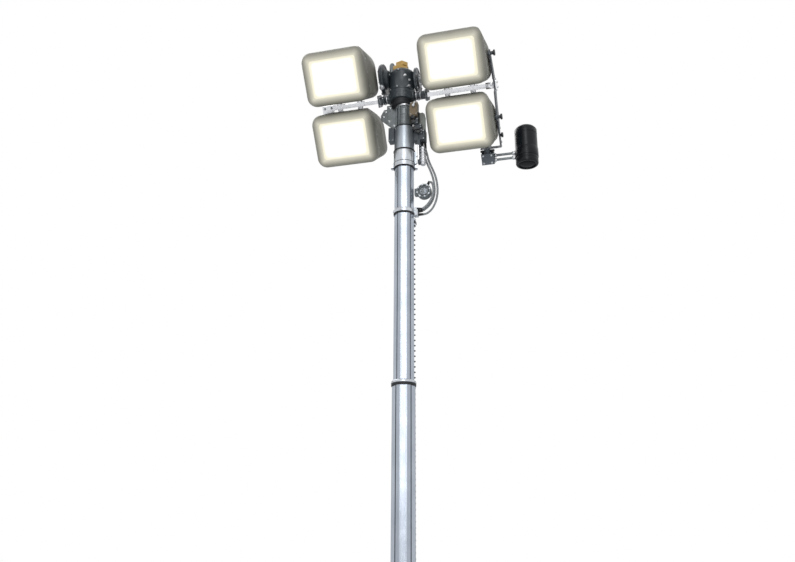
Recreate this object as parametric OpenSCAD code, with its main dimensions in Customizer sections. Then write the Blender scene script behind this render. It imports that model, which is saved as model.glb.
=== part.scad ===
// Telescopic light mast with a panning and tilting head that carries four floodlights.
// Millimetres. +Z is up, the lamps face -Y, and the origin is the centre of the foot flange's underside.

/* [Foot] */
// Width of the square foot plate
foot_w = 260; // [220:5:340]
// Thickness of the foot plate
foot_t = 16; // [10:1:25]
// Spacing of the foot bolts, the same both ways
bolt_spacing = 200; // [170:5:210]
// Diameter of the foot's bolt holes
bolt_hole_d = 18; // [12:1:22]
// Height of the foot's gussets
gusset_h = 110; // [70:5:160]
// Thickness of the foot's gussets
gusset_t = 8; // [5:1:12]

/* [Mast tubes] */
// Outer diameter of the upper tube
upper_d = 90; // [84:1:96]
// Wall of both tubes
tube_wall = 4; // [3:0.5:5]
// Gap between the tubes
tube_gap = 1; // [0.6:0.2:2]
// Length of the lower tube
lower_len = 2279; // [1900:10:2600]
// Length of the upper tube above the guide collar
upper_out = 1020; // [900:5:1200]
// Length of the upper tube inside the lower tube
upper_in = 300; // [200:10:400]
// Width of the grooves along the tubes
groove_w = 4; // [2:0.5:6]
// Depth of the grooves along the tubes
groove_depth = 1.5; // [1:0.25:2]
// Height of the guide collar on top of the lower tube
collar_h = 15; // [12:1:30]
// How far the guide collar stands out from the lower tube
collar_lip = 4; // [2:0.5:8]

/* [Mast top] */
// How far the fixed collar stands out from the upper tube
eared_lip = 7; // [5:1:10]
// Height of the fixed collar at the upper tube's top
eared_h = 20; // [14:1:30]
// How far the fixed collar's ears stand out from the upper tube
ear_out = 17; // [12:1:24]
// How far the head adapter stands out from the upper tube
adapter_lip = 2; // [1:0.5:4]
// Height of the head adapter
adapter_h = 194; // [180:2:220]
// Diameter of the spigot that carries the head
spigot_d = 70; // [60:1:76]
// Height of the spigot above the adapter
spigot_h = 156; // [150:1:190]
// Height of the clamp ring's top below the top of the upper tube
ring_drop = 234; // [210:2:300]
// Height of the clamp ring
ring_h = 14; // [10:1:20]
// How far the clamp ring stands out from the upper tube
ring_lip = 4; // [3:0.5:8]

/* [Pan and tilt head] */
// Diameter of the head housing
housing_d = 124; // [116:1:130]
// Height of the head housing
housing_h = 168; // [154:2:190]
// Depth of the spigot's seat in the housing
spigot_seat = 12; // [8:1:12]
// Height of the tilt axis above the underside of the housing
tilt_rise = 28; // [28:1:34]
// Diameter of the tilt shaft
shaft_d = 24; // [18:1:26]
// Diameter of the tilt hubs
hub_d = 40; // [36:1:44]
// Diameter of the right side cover
cover_d = 136; // [120:2:140]
// Thickness of the right side cover, from inside the housing
cover_t = 22; // [18:1:26]
// Width of the hexagonal cap across its flats
cap_af = 70; // [60:1:76]
// Height of the hexagonal cap
cap_h = 60; // [44:1:66]
// Downward tilt of the lamps as they stand
lamp_tilt = 36; // [20:1:45]

/* [Lamps] */
// Width of a lamp
lamp_w = 304; // [280:2:340]
// Height of a lamp
lamp_h = 248; // [230:2:270]
// Depth of a lamp's housing
lamp_depth = 245; // [225:5:255]
// Distance of a lamp's front rim from the tilt axis
lamp_front = 198; // [185:1:210]
// Distance of the lamps' inner sides from the mast axis
lamp_inner = 124; // [124:1:140]
// Gap between an upper and a lower lamp
lamp_gap = 40; // [36:1:52]
// Radius of a lamp's corners seen from the front
lamp_corner_r = 40; // [38:1:60]
// Radius of a lamp's shoulders, which round off its top corners towards the back
lamp_shoulder_r = 130; // [110:5:135]
// Angle by which a lamp's shoulders come down towards the back
lamp_shoulder_lean = 15; // [12:1:18]
// Radius of a lamp's rear side edges
lamp_back_r = 33; // [30:1:35]
// Radius of a lamp's rear top edge
lamp_crown_r = 78; // [66:2:78]
// Radius of a lamp's rear bottom edge
lamp_sole_r = 25; // [22:1:28]
// Radius of a lamp's front side edges
lamp_front_r = 14; // [13:1:20]
// Radius of a lamp's front top and bottom edges
lamp_brow_r = 11; // [8:1:12]
// Rim beside a lamp's window
rim_side = 40; // [30:1:50]
// Rim above and below a lamp's window
rim_top = 37; // [30:1:50]
// Thickness of a lamp's window
window_t = 8; // [5:0.5:10]
// How far the window lies behind the lamp's front rim
window_inset = 6; // [3:0.5:10]
// Number of cooling fins behind a lamp
fin_count = 13; // [7:2:15]
// Thickness of a cooling fin
fin_t = 4; // [3:0.5:5]
// Height of the cooling fins
fin_h = 26; // [18:1:34]

/* [Lamp frame] */
// Height of the crossbars
bar_h = 20; // [16:1:22]
// Depth of the crossbars
bar_d = 34; // [26:1:44]
// Distance of the crossbars in front of the tilt axis
bar_front = 30; // [24:1:34]
// Thickness of the side plates
plate_t = 6; // [4:0.5:6]
// Width of the side plates' arms
arm_w = 36; // [28:1:44]
// Distance of the lamps' side bolts in front of the tilt axis
pivot_front = 86; // [80:2:96]
// Diameter of the sensor pod
pod_d = 105; // [96:1:112]
// Height of the sensor pod
pod_h = 194; // [170:2:210]

/* [Cables] */
// Outer diameter of the curly cord
curl_d = 34; // [28:1:36]
// Thickness of the service cables
cable_d = 10; // [8:0.5:12]

/* [Hidden] */
// Roundness of bores and cylinders
$fn = 64;
// Clearances and fits
slide_gap = 0.5;
seat_gap = 0.1;
run_gap = 0.05;
move_gap = 8;
big = 400;

// Foot and mast widths
lower_d = upper_d + 2 * (tube_gap + tube_wall);
adapter_d = upper_d + 2 * adapter_lip;
sleeve_wall = 12;
gusset_reach = foot_w / 2 - lower_d / 2 - sleeve_wall - 7;

// Levels along the mast
foot_top = foot_t;
lower_top = foot_top + lower_len;
collar_top = lower_top + collar_h;
upper_bottom = lower_top - upper_in;
upper_top = collar_top + upper_out;
ear_rise = 5;
ear_top = upper_top + ear_rise;
ear_bottom = ear_top - eared_h;
adapter_top = ear_top + adapter_h;
spigot_top = adapter_top + spigot_h;
housing_x = -12;
housing_bottom = spigot_top - spigot_seat + run_gap;
housing_top = housing_bottom + housing_h;
skirt_h = 33;
skirt_step = 4;
crown_h = 12;
crown_step = 12;
tilt_z = housing_bottom + tilt_rise;
ring_top = upper_top - ring_drop;
ring_bottom = ring_top - ring_h;

// Grooves along the tubes, as directions round the mast
groove_angles = [for (a = [-117, 3, 123]) each [a, a + 80]];
// Direction of the ears and of the adapter's clamp lug
ear_angle = 14;

// Lamps and their frame, in the frame that tilts with them
lamp_out = lamp_inner + lamp_w / 2;
lamp_outer = lamp_inner + lamp_w;
lamp_up = (lamp_gap + lamp_h) / 2;
window_w = lamp_w - 2 * rim_side;
window_h = lamp_h - 2 * rim_top;
window_gap = 0.5;
window_r = 20;
inner_plate_x = lamp_inner - plate_t - 4;
outer_plate_x = lamp_outer + 8;
plate_mid_h = 80;
inner_pad_h = 56;
pin_d = 16;
pin_out = 10;
hub_out = inner_plate_x - 2;
hub_rim = 8;
hub_clear = 5;
hub_arm_in = hub_out - 20;
shaft_half = hub_out - 8;
cover_bottom = tilt_z + hub_d / 2 + move_gap;
cover_in = housing_d / 2 - 6;
right_cover_y = 24;
right_neck = 8;
left_cover_d = cover_d + 14;
left_cover_t = inner_plate_x - move_gap - cover_in + housing_x;
left_cover_y = -20;
left_neck = 20;
left_lid_t = lamp_inner - 6 - cover_in + housing_x;
left_lid_rise = 11;
cap_x = housing_x - 9;
bar_left_out = lamp_outer - 28;
bar_right_out = outer_plate_x;
post_d = 30;
post_reach = lamp_gap / 2 + 44;
post_out = 60;
post_in = 40;
saddle_w = 58;
saddle_d = 52;
saddle_wall = 5;
saddle_drop = lamp_gap / 2 + 26;
foot_plate_z = -(lamp_up + lamp_h / 2 + 12);
foot_plate_w = 92;
foot_plate_in = outer_plate_x - foot_plate_w;
foot_plate_d = 48;
leg_d = 32;
leg_h = lamp_h / 2 + 32;
pod_block_w = 58;
pod_block_d = 56;
pod_block_h = 52;
pod_block_x = foot_plate_in + pod_block_w / 2;
pod_block_y = -60;
pod_neck_d = 30;
pod_neck_h = 20;
pod_block_top = foot_plate_z - plate_t - pod_neck_h;
pod_out = 118;
pod_x = outer_plate_x + pod_out;
pod_arm_d = 12;
pod_arm_rise = 24;
pod_drop = 58;

// Pieces on the spigot and the adapter
bracket_t = 8;
bracket_out = lamp_inner - move_gap;
bracket_h = tilt_z - adapter_top - norm([bar_front + bar_d / 2, bar_h / 2]) - move_gap;
bracket_slope = [16, 30];
bracket_top_out = hub_arm_in - 6;
bracket_top_h = housing_bottom - move_gap - adapter_top;
switch_w = 38;
switch_d = 34;
switch_h = 76;
switch_rise = 52;
switch_foot_h = 33;
adapter_lug_h = 62;
gland_w = 56;
gland_d = 32;
gland_h = 56;
gland_x = adapter_d / 2 + 23;
gland_y = 28;
gland_drop = 67;
gland_z = adapter_top - gland_drop;
plug_d = 30;
plug_h = 84;
plug_x = adapter_d / 2 + 41;
plug_y = 8;
plug_z = ear_top + 3;
junction_d = 72;
junction_t = 34;
junction_x = upper_d / 2 + 45;
junction_y = 18;
junction_drop = 136;
junction_z = upper_top - junction_drop;

// Curly cord, hanging behind the mast
curl_x = 14;
curl_y = lower_d / 2 + collar_lip + curl_d / 2 + 15;
box_w = 110;
box_d = 64;
box_h = 150;
box_z = 760;
nut_h = 22;
nut_d = curl_d + 6;
curl_bottom = box_z + box_h + nut_h;
curl_top = ring_bottom - nut_h;

// Service cables: two from the gland plate to the clamp ring, and one from the junction socket,
// with heights from the top of the upper tube
cable_outer = [[91, 36, 131.9], [91.5, 36, 116], [95, 36, 92], [101, 36, 68], [106, 37, 42], [115, 38, 14],
               [127, 39, -16], [138, 40, -48], [145, 40, -82], [148, 40, -118], [146, 38, -154],
               [138, 35, -188], [124, 31, -218], [104, 27, -239], [84, 23, -246], [63.5, 21, -246]];
cable_inner = [[77, 36, 131.9], [77.5, 36, 116], [81, 35, 92], [88, 34, 66], [95, 33, 38], [105, 33, 8],
               [117, 33, -24], [127, 33, -56], [133, 33, -88], [136, 32, -122], [134, 29, -154],
               [126, 25, -182], [113, 20, -206], [96, 15, -224], [80, 11, -234], [63.5, 9, -236]];
cable_socket = [[106, 17.5, -103], [113, 14, -93], [124, 11, -94], [132, 9, -108], [135, 8, -130],
                [134, 6, -154], [127, 5, -178], [115, 4, -200], [98, 3, -218], [80, 3, -228],
                [63.5, 4, -225.5]];

// ---- helpers ----

// A round tube standing on z, with grooves along its outside
module grooved_tube(d, wall, z, h) {
    difference() {
        translate([0, 0, z]) cylinder(d = d, h = h);
        translate([0, 0, z - 1]) cylinder(d = d - 2 * wall, h = h + 2);
        for (a = groove_angles)
            rotate([0, 0, a])
                translate([d / 2 - groove_depth, -groove_w / 2, z - 1])
                    cube([groove_depth + 1, groove_w, h + 2]);
    }
}

// A flat ring standing on z
module ring(outer, inner, z, h) {
    translate([0, 0, z])
        difference() {
            cylinder(d = outer, h = h);
            translate([0, 0, -1]) cylinder(d = inner, h = h + 2);
        }
}

// A box about the middle of its footprint, from z upwards
module block(w, d, h) {
    translate([-w / 2, -d / 2, 0]) cube([w, d, h]);
}

// A flat rectangle with round corners, as exact arcs
module round_rect(w, h, r) {
    square([w - 2 * r, h], center = true);
    square([w, h - 2 * r], center = true);
    for (x = [-1, 1], y = [-1, 1])
        translate([x * (w / 2 - r), y * (h / 2 - r)]) circle(r = r);
}

// A section with small arcs at its front (low Y) and an arc of its own at each end of its back (high Y)
module deep_section(w, d, front_r, low_r, high_r) {
    translate([-w / 2, front_r]) square([w / 2, d - front_r - low_r]);
    translate([0, front_r]) square([w / 2, d - front_r - high_r]);
    translate([-w / 2 + front_r, 0]) square([w - 2 * front_r, d / 2]);
    translate([-w / 2 + low_r, d / 2]) square([w - low_r - high_r, d / 2]);
    for (x = [-1, 1]) translate([x * (w / 2 - front_r), front_r]) circle(r = front_r);
    translate([-w / 2 + low_r, d - low_r]) circle(r = low_r);
    translate([w / 2 - high_r, d - high_r]) circle(r = high_r);
}

// The frame that tilts with the lamps
module in_bank() {
    translate([0, 0, tilt_z]) rotate([lamp_tilt, 0, 0]) children();
}

// The place of one lamp's centre in that frame
module at_lamp(side, level) {
    in_bank() translate([side * lamp_out, 0, level * lamp_up]) children();
}

function sub(a, b) = [a[0] - b[0], a[1] - b[1], a[2] - b[2]];
function unit(v) = v / norm(v);

// Rings of points round a route; each ring is square to the route there
function route_dir(route, i) =
    unit(sub(route[min(i + 1, len(route) - 1)], route[max(i - 1, 0)]));
function ring_points(centre, dir, r, sides) =
    let (side = unit(cross(dir, [0.13, 1, 0.09])), other = cross(side, dir))
    [for (k = [0 : sides - 1]) centre + r * (cos(360 * k / sides) * side + sin(360 * k / sides) * other)];

// A cable swept along its route
module cable(route, d, sides = 10) {
    rings = len(route);
    points = [for (i = [0 : rings - 1], p = ring_points(route[i], route_dir(route, i), d / 2, sides)) p];
    walls = [for (i = [0 : rings - 2], k = [0 : sides - 1])
        [i * sides + k, i * sides + (k + 1) % sides, (i + 1) * sides + (k + 1) % sides, (i + 1) * sides + k]];
    ends = [[for (k = [0 : sides - 1]) sides - 1 - k], [for (k = [0 : sides - 1]) (rings - 1) * sides + k]];
    polyhedron(points = points, faces = concat(walls, ends));
}

// ---- foot and lower tube ----

module foot_flange() {
    color("dimgray")
    difference() {
        union() {
            block(foot_w, foot_w, foot_t);
            ring(lower_d + 2 * sleeve_wall, lower_d + 2 * seat_gap, foot_t, gusset_h + 10);
            for (a = [0 : 90 : 270])
                rotate([0, 0, a])
                    translate([lower_d / 2 + sleeve_wall - 1, gusset_t / 2, foot_t])
                        rotate([90, 0, 0])
                            linear_extrude(gusset_t)
                                polygon([[0, 0], [gusset_reach, 0], [gusset_reach, 12], [0, gusset_h]]);
        }
        for (x = [-1, 1], y = [-1, 1])
            translate([x * bolt_spacing / 2, y * bolt_spacing / 2, -1])
                cylinder(d = bolt_hole_d, h = foot_t + 2);
    }
}

module lower_tube() {
    color("silver") grooved_tube(lower_d, tube_wall, foot_top, lower_len);
}

module guide_collar() {
    color("gray")
    difference() {
        union() {
            ring(lower_d + 2 * collar_lip, upper_d + 2 * slide_gap, lower_top, collar_h - collar_lip);
            translate([0, 0, collar_top - collar_lip])
                cylinder(d1 = lower_d + 2 * collar_lip, d2 = lower_d, h = collar_lip);
        }
        translate([0, 0, lower_top - 1]) cylinder(d = upper_d + 2 * slide_gap, h = collar_h + 2);
    }
}

module cord_box() {
    color("darkslategray")
    difference() {
        union() {
            translate([curl_x, curl_y, box_z]) block(box_w, box_d, box_h);
            translate([curl_x, curl_y, box_z + box_h]) cylinder(d = nut_d, h = nut_h);
            for (z = [box_z + 20, box_z + box_h - 32])
                ring(lower_d + 14, lower_d + 2 * seat_gap, z, 12);
        }
        translate([0, 0, box_z - 1]) cylinder(d = lower_d + 2 * seat_gap, h = box_h + nut_h + 2);
    }
}

// ---- upper tube and mast top ----

module upper_tube() {
    color("silver") grooved_tube(upper_d, tube_wall, upper_bottom, upper_top - upper_bottom);
}

module clamp_ring() {
    lug_w = 20;
    lug_y = 14;
    color("gray")
    difference() {
        union() {
            ring(upper_d + 2 * ring_lip, upper_d + 2 * seat_gap, ring_bottom, ring_h);
            // lug that holds the service cables
            translate([upper_d / 2 + 8, lug_y, ring_bottom - 8]) block(lug_w, 30, ring_h + 24);
            // arm and nut of the curly cord
            translate([curl_x, (upper_d / 2 + curl_y) / 2, ring_bottom])
                block(30, curl_y - upper_d / 2 + 30, ring_h - 2);
            translate([curl_x, curl_y, curl_top]) cylinder(d = nut_d, h = nut_h + ring_h - 2);
        }
        translate([0, 0, curl_top - 1])
            cylinder(d = upper_d + 2 * seat_gap, h = ring_h + nut_h + 30);
    }
}

module eared_collar() {
    color("gray")
    difference() {
        union() {
            ring(upper_d + 2 * eared_lip, upper_d + 2 * seat_gap, ear_bottom, eared_h);
            for (a = [ear_angle, ear_angle + 180])
                rotate([0, 0, a])
                    translate([upper_d / 2 + ear_out / 2 + 1, 0, ear_bottom])
                        block(ear_out - 2, 22, eared_h - 6);
        }
        translate([0, 0, ear_bottom - 1])
            cylinder(d = upper_d + 2 * seat_gap, h = upper_top - ear_bottom + 1);
        translate([0, 0, upper_top - 1]) cylinder(d = upper_d - 2 * tube_wall, h = ear_rise + 2);
    }
}

module head_adapter() {
    shoulder = 8;
    color("lightslategray")
    union() {
        translate([0, 0, ear_top]) cylinder(d = adapter_d, h = adapter_h - shoulder);
        translate([0, 0, adapter_top - shoulder]) cylinder(d1 = adapter_d, d2 = adapter_d - 12, h = shoulder);
        // clamp lug down the right side
        rotate([0, 0, ear_angle])
            translate([adapter_d / 2 + 2, 0, ear_top]) block(14, 26, adapter_lug_h);
    }
}

module spigot() {
    color("lightslategray")
    translate([0, 0, adapter_top]) cylinder(d = spigot_d, h = spigot_h);
}

module gusset_bracket() {
    inside = spigot_d / 2 - 3;
    color("slategray")
    difference() {
        translate([0, bracket_t / 2, adapter_top])
            rotate([90, 0, 0])
                linear_extrude(bracket_t)
                    polygon([[-inside, 0], [-inside - 17, 0], [-bracket_out, 0.55 * bracket_h],
                             [-bracket_out, bracket_h - bracket_slope[1]],
                             [-bracket_out + bracket_slope[0], bracket_h], [-bracket_top_out, bracket_h],
                             [-bracket_top_out, bracket_top_h], [-inside, bracket_top_h]]);
        translate([0, 0, adapter_top - 1]) cylinder(d = spigot_d + 2 * seat_gap, h = spigot_h);
    }
}

module limit_switch() {
    color("peru")
    difference() {
        union() {
            translate([spigot_d / 2 + 14, -4, adapter_top + switch_rise]) block(switch_w, switch_d, switch_h);
            translate([spigot_d / 2 + 7, -4, adapter_top + switch_rise - switch_foot_h + 1])
                block(16, 20, switch_foot_h);
        }
        translate([0, 0, adapter_top - 1]) cylinder(d = spigot_d + 2 * seat_gap, h = spigot_h + 4);
    }
}

module gland_plate() {
    color("darkslategray")
    difference() {
        union() {
            translate([gland_x, gland_y, gland_z]) block(gland_w, gland_d, gland_h);
            rotate([0, 0, ear_angle]) translate([adapter_d / 2 + 8, 0, gland_z]) block(20, 24, gland_h);
            // leg that the plug connector is clipped to
            translate([plug_x - plug_d / 2 - 3, plug_y + 2, plug_z]) block(12, 24, gland_z - plug_z + 1);
        }
        translate([0, 0, gland_z - 1]) cylinder(d = adapter_d + 2 * seat_gap, h = gland_h + 24);
        translate([plug_x, plug_y, plug_z - 1]) cylinder(d = plug_d + 2 * seat_gap, h = gland_z - plug_z);
    }
}

module plug_connector() {
    color("gray")
    translate([plug_x, plug_y, plug_z])
    union() {
        cylinder(d = plug_d - 4, h = plug_h);
        for (z = [4 : 20 : plug_h - 16]) translate([0, 0, z]) cylinder(d = plug_d, h = 9);
    }
}

module junction_socket() {
    color("dimgray")
    difference() {
        union() {
            translate([junction_x, junction_y + junction_t / 2, junction_z])
                rotate([90, 0, 0]) cylinder(d = junction_d, h = junction_t);
            translate([(upper_d / 2 + junction_x) / 2, junction_y, junction_z - 18])
                block(junction_x - upper_d / 2 + 10, 22, 36);
        }
        translate([0, 0, junction_z - junction_d]) cylinder(d = upper_d + 2 * seat_gap, h = 2 * junction_d);
    }
}

module service_cable_outer() {
    color("gray") translate([0, 0, upper_top]) cable(cable_outer, cable_d);
}

module service_cable_inner() {
    color("gray") translate([0, 0, upper_top]) cable(cable_inner, cable_d);
}

module socket_cable() {
    color("gray") translate([0, 0, upper_top]) cable(cable_socket, cable_d);
}

module curly_cord() {
    color("black")
    translate([curl_x, curl_y, curl_bottom]) cylinder(d = curl_d, h = curl_top - curl_bottom);
}

// ---- panning head ----

module head_housing() {
    color("darkslategray")
    difference() {
        translate([housing_x, 0, 0])
            union() {
                translate([0, 0, housing_bottom]) cylinder(d = housing_d - 2 * skirt_step, h = skirt_h);
                translate([0, 0, housing_bottom + skirt_h])
                    cylinder(d = housing_d, h = housing_h - skirt_h - crown_h);
                translate([0, 0, housing_top - crown_h])
                    cylinder(d1 = housing_d, d2 = housing_d - 2 * crown_step, h = crown_h);
            }
        translate([0, 0, housing_bottom - 1]) cylinder(d = spigot_d + 2 * run_gap, h = spigot_seat + 1);
        translate([-big / 2, 0, tilt_z]) rotate([0, 90, 0]) cylinder(d = shaft_d + 2 * run_gap, h = big);
    }
}

module hex_cap() {
    color("goldenrod")
    translate([cap_x, 0, housing_top]) {
        cylinder(d = cap_af - 6, h = 8);
        translate([0, 0, 6]) rotate([0, 0, ear_angle]) cylinder(d = cap_af / cos(30), h = cap_h - 6, $fn = 6);
    }
}

// A round cover on a neck beside the housing, seated on it, with a smaller lid on its outer face
module side_cover(side, d, t, y, neck, lid_d, lid_t, lid_rise) {
    difference() {
        translate([housing_x + side * cover_in, y, cover_bottom + d / 2])
            rotate([0, side * 90, 0])
                union() {
                    cylinder(d = d - 40 - neck, h = t);
                    translate([0, 0, neck]) cylinder(d = d, h = t - neck);
                    translate([-side * lid_rise, 0, neck]) cylinder(d = lid_d, h = lid_t - neck);
                }
        translate([housing_x, 0, housing_bottom - 1]) cylinder(d = housing_d + 2 * seat_gap, h = housing_h + 60);
    }
}

module left_cover() {
    color("dimgray")
        side_cover(-1, left_cover_d, left_cover_t, left_cover_y, left_neck,
                   left_cover_d - 2 * left_lid_rise, left_lid_t, left_lid_rise);
}

module right_cover() {
    color("dimgray")
        side_cover(1, cover_d, cover_t, right_cover_y, right_neck, cover_d - 40, cover_t + 6, 0);
}

// ---- tilting lamp frame ----

module tilt_shaft() {
    color("silver")
    in_bank() translate([-shaft_half, 0, 0]) rotate([0, 90, 0]) cylinder(d = shaft_d, h = 2 * shaft_half);
}

// Distance of a hub's inner end from the mast axis
function hub_in(side) = housing_d / 2 + side * housing_x + hub_clear;

// The hubs hold the shaft's ends, and their arms carry the crossbars in front of the tilt axis
module tilt_hubs() {
    color("dimgray")
    in_bank()
        for (side = [-1, 1])
            difference() {
                union() {
                    translate([side * (hub_in(side) + hub_out) / 2, 0, 0])
                        rotate([0, 90, 0]) cylinder(d = hub_d, h = hub_out - hub_in(side), center = true);
                    translate([side * (hub_arm_in + hub_out) / 2, -bar_front / 2 - bar_d / 4, -bar_h / 2])
                        block(hub_out - hub_arm_in, bar_front + bar_d / 2, bar_h);
                }
                rotate([0, 90, 0]) cylinder(d = shaft_d + 2 * seat_gap, h = 2 * shaft_half, center = true);
            }
}

// Posts from a crossbar to the two lamps beside it, cut to the lamps' backs
module lamp_posts(side, places) {
    difference() {
        for (x = places)
            in_bank()
                translate([side * lamp_out + x, -bar_front, 0])
                    cylinder(d = post_d, h = 2 * post_reach, center = true);
        for (level = [-1, 1])
            at_lamp(side, level)
                translate([0, 0, -level * seat_gap]) lamp_shape();
    }
}

// A crossbar from the hub outwards, with its posts
module crossbar(side, reach) {
    in_bank()
        translate([side > 0 ? hub_out : -reach, -bar_front - bar_d / 2, -bar_h / 2])
            cube([reach - hub_out, bar_d, bar_h]);
    lamp_posts(side, side < 0 ? [-post_in, post_out] : [-post_out, post_out]);
}

module left_crossbar() {
    color("gainsboro") crossbar(-1, bar_left_out);
}

module right_crossbar() {
    color("gainsboro") crossbar(1, bar_right_out);
}

// The hole for a crossbar's end in a side plate
module bar_hole() {
    translate([-bar_front, 0]) square([bar_d + 2 * seat_gap, bar_h + 2 * seat_gap], center = true);
}

// An inner side plate in its own plane: a pad round the crossbar and a flange round the tilt axis
module inner_plate_shape() {
    difference() {
        union() {
            translate([-bar_front, 0]) square([bar_d + 20, inner_pad_h], center = true);
            circle(d = hub_d + 2 * hub_rim);
        }
        bar_hole();
    }
}

// The outer side plate in its own plane: two arms from the crossbar to the lamps' side bolts
module outer_plate_shape() {
    difference() {
        union() {
            translate([-bar_front, 0]) square([bar_d + 20, plate_mid_h], center = true);
            for (level = [-1, 1]) {
                translate([-pivot_front, level * lamp_up]) circle(d = arm_w);
                polygon([[-bar_front - bar_d / 2 - 10, level * plate_mid_h / 4],
                         [-bar_front + bar_d / 2 + 10, level * plate_mid_h / 2],
                         [-pivot_front + arm_w / 2, level * lamp_up], [-pivot_front - arm_w / 2, level * lamp_up]]);
            }
        }
        bar_hole();
    }
}

// A flat outline as a plate across the crossbars, from x outwards
module side_plate(x) {
    in_bank()
        translate([x, 0, 0])
            rotate([90, 0, 90]) linear_extrude(plate_t) children();
}

module left_side_plate() {
    color("dimgray") side_plate(-inner_plate_x - plate_t) inner_plate_shape();
}

module right_inner_plate() {
    color("dimgray") side_plate(inner_plate_x) inner_plate_shape();
}

module right_outer_plate() {
    color("dimgray") {
        side_plate(outer_plate_x) outer_plate_shape();
        // pins into the two lamps beside it
        in_bank()
            for (level = [-1, 1])
                translate([lamp_outer, -pivot_front, level * lamp_up])
                    rotate([0, 90, 0]) cylinder(d = pin_d, h = outer_plate_x + plate_t + pin_out - lamp_outer);
        in_bank() {
            // leg down to the foot plate under the lower lamp
            translate([outer_plate_x, pod_block_y - leg_d / 2, foot_plate_z]) cube([plate_t, leg_d, leg_h]);
            translate([foot_plate_in, pod_block_y - foot_plate_d / 2, foot_plate_z - plate_t])
                cube([outer_plate_x + plate_t - foot_plate_in, foot_plate_d, plate_t]);
        }
    }
}

// Clamp round the left crossbar's end, with its block against the lower lamp
module left_saddle() {
    color("gray")
    difference() {
        in_bank()
            translate([-bar_left_out + saddle_w / 2, -bar_front, -saddle_drop])
                block(saddle_w, saddle_d, saddle_drop + bar_h / 2 + saddle_wall);
        in_bank()
            translate([-bar_left_out - 1, -bar_front - bar_d / 2 - seat_gap, -bar_h / 2 - seat_gap])
                cube([saddle_w + 2, bar_d + 2 * seat_gap, bar_h + 2 * seat_gap]);
        for (level = [-1, 1])
            at_lamp(-1, level) translate([0, 0, -level * seat_gap]) lamp_shape();
    }
}

// ---- lamps ----

// The outside of a lamp about its own centre, rounded from all three sides, with shoulders that lean back
module lamp_shape() {
    intersection() {
        translate([0, lamp_depth - lamp_front, lamp_h / 2]) rotate([90 - lamp_shoulder_lean, 0, 0])
            translate([0, -1.5 * lamp_h, -lamp_h / 2])
                linear_extrude(lamp_depth + lamp_h / 2 + 1) round_rect(lamp_w, 3 * lamp_h, lamp_shoulder_r);
        translate([0, lamp_depth - lamp_front, 0]) rotate([90, 0, 0])
            linear_extrude(lamp_depth) round_rect(lamp_w, lamp_h, lamp_corner_r);
        translate([0, -lamp_front, -lamp_h / 2])
            linear_extrude(lamp_h) deep_section(lamp_w, lamp_depth, lamp_front_r, lamp_back_r, lamp_back_r);
        translate([-lamp_w / 2, -lamp_front, 0]) rotate([0, 90, 0])
            linear_extrude(lamp_w) deep_section(lamp_h, lamp_depth, lamp_brow_r, lamp_crown_r, lamp_sole_r);
    }
}

// A lamp's housing with the recess of its window
module lamp_housing(side, level) {
    at_lamp(side, level)
        difference() {
            lamp_shape();
            translate([0, -lamp_front + window_inset + window_t, 0]) rotate([90, 0, 0])
                linear_extrude(window_inset + window_t + 1)
                    round_rect(window_w + 2 * window_gap, window_h + 2 * window_gap, window_r + window_gap);
        }
}

module lamp_window(side, level) {
    at_lamp(side, level)
        translate([0, -lamp_front + window_inset + window_t, 0]) rotate([90, 0, 0])
            linear_extrude(window_t) round_rect(window_w, window_h, window_r);
}

// Cooling fins behind the lamp, on their own base
module lamp_heatsink(side, level) {
    base_t = 5;
    fins_w = lamp_w - 2 * lamp_back_r;
    fins_h = lamp_h - lamp_crown_r - lamp_sole_r;
    pitch = (fins_w - fin_t) / (fin_count - 1);
    at_lamp(side, level)
        translate([-fins_w / 2, lamp_depth - lamp_front, lamp_sole_r - lamp_h / 2]) {
            cube([fins_w, base_t, fins_h]);
            for (i = [0 : fin_count - 1]) translate([i * pitch, 0, 0]) cube([fin_t, fin_h, fins_h]);
        }
}

module upper_left_lamp() { color("darkkhaki") lamp_housing(-1, 1); }
module upper_left_window() { color("ivory") lamp_window(-1, 1); }
module upper_left_heatsink() { color("gray") lamp_heatsink(-1, 1); }
module lower_left_lamp() { color("darkkhaki") lamp_housing(-1, -1); }
module lower_left_window() { color("ivory") lamp_window(-1, -1); }
module lower_left_heatsink() { color("gray") lamp_heatsink(-1, -1); }
module upper_right_lamp() { color("darkkhaki") lamp_housing(1, 1); }
module upper_right_window() { color("ivory") lamp_window(1, 1); }
module upper_right_heatsink() { color("gray") lamp_heatsink(1, 1); }
module lower_right_lamp() { color("darkkhaki") lamp_housing(1, -1); }
module lower_right_window() { color("ivory") lamp_window(1, -1); }
module lower_right_heatsink() { color("gray") lamp_heatsink(1, -1); }

// ---- sensor pod ----

module pod_block() {
    color("gray")
    in_bank()
        translate([pod_block_x, pod_block_y, pod_block_top - pod_block_h])
            union() {
                block(pod_block_w, pod_block_d, pod_block_h);
                cylinder(d = pod_neck_d, h = pod_block_h + pod_neck_h);
            }
}

// The pod stands upright although its bracket tilts with the lamps
module at_pod() {
    c = pod_block_top - pod_block_h / 2;
    translate([pod_x,
               pod_block_y * cos(lamp_tilt) - c * sin(lamp_tilt),
               tilt_z + pod_block_y * sin(lamp_tilt) + c * cos(lamp_tilt)])
        children();
}

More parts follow.
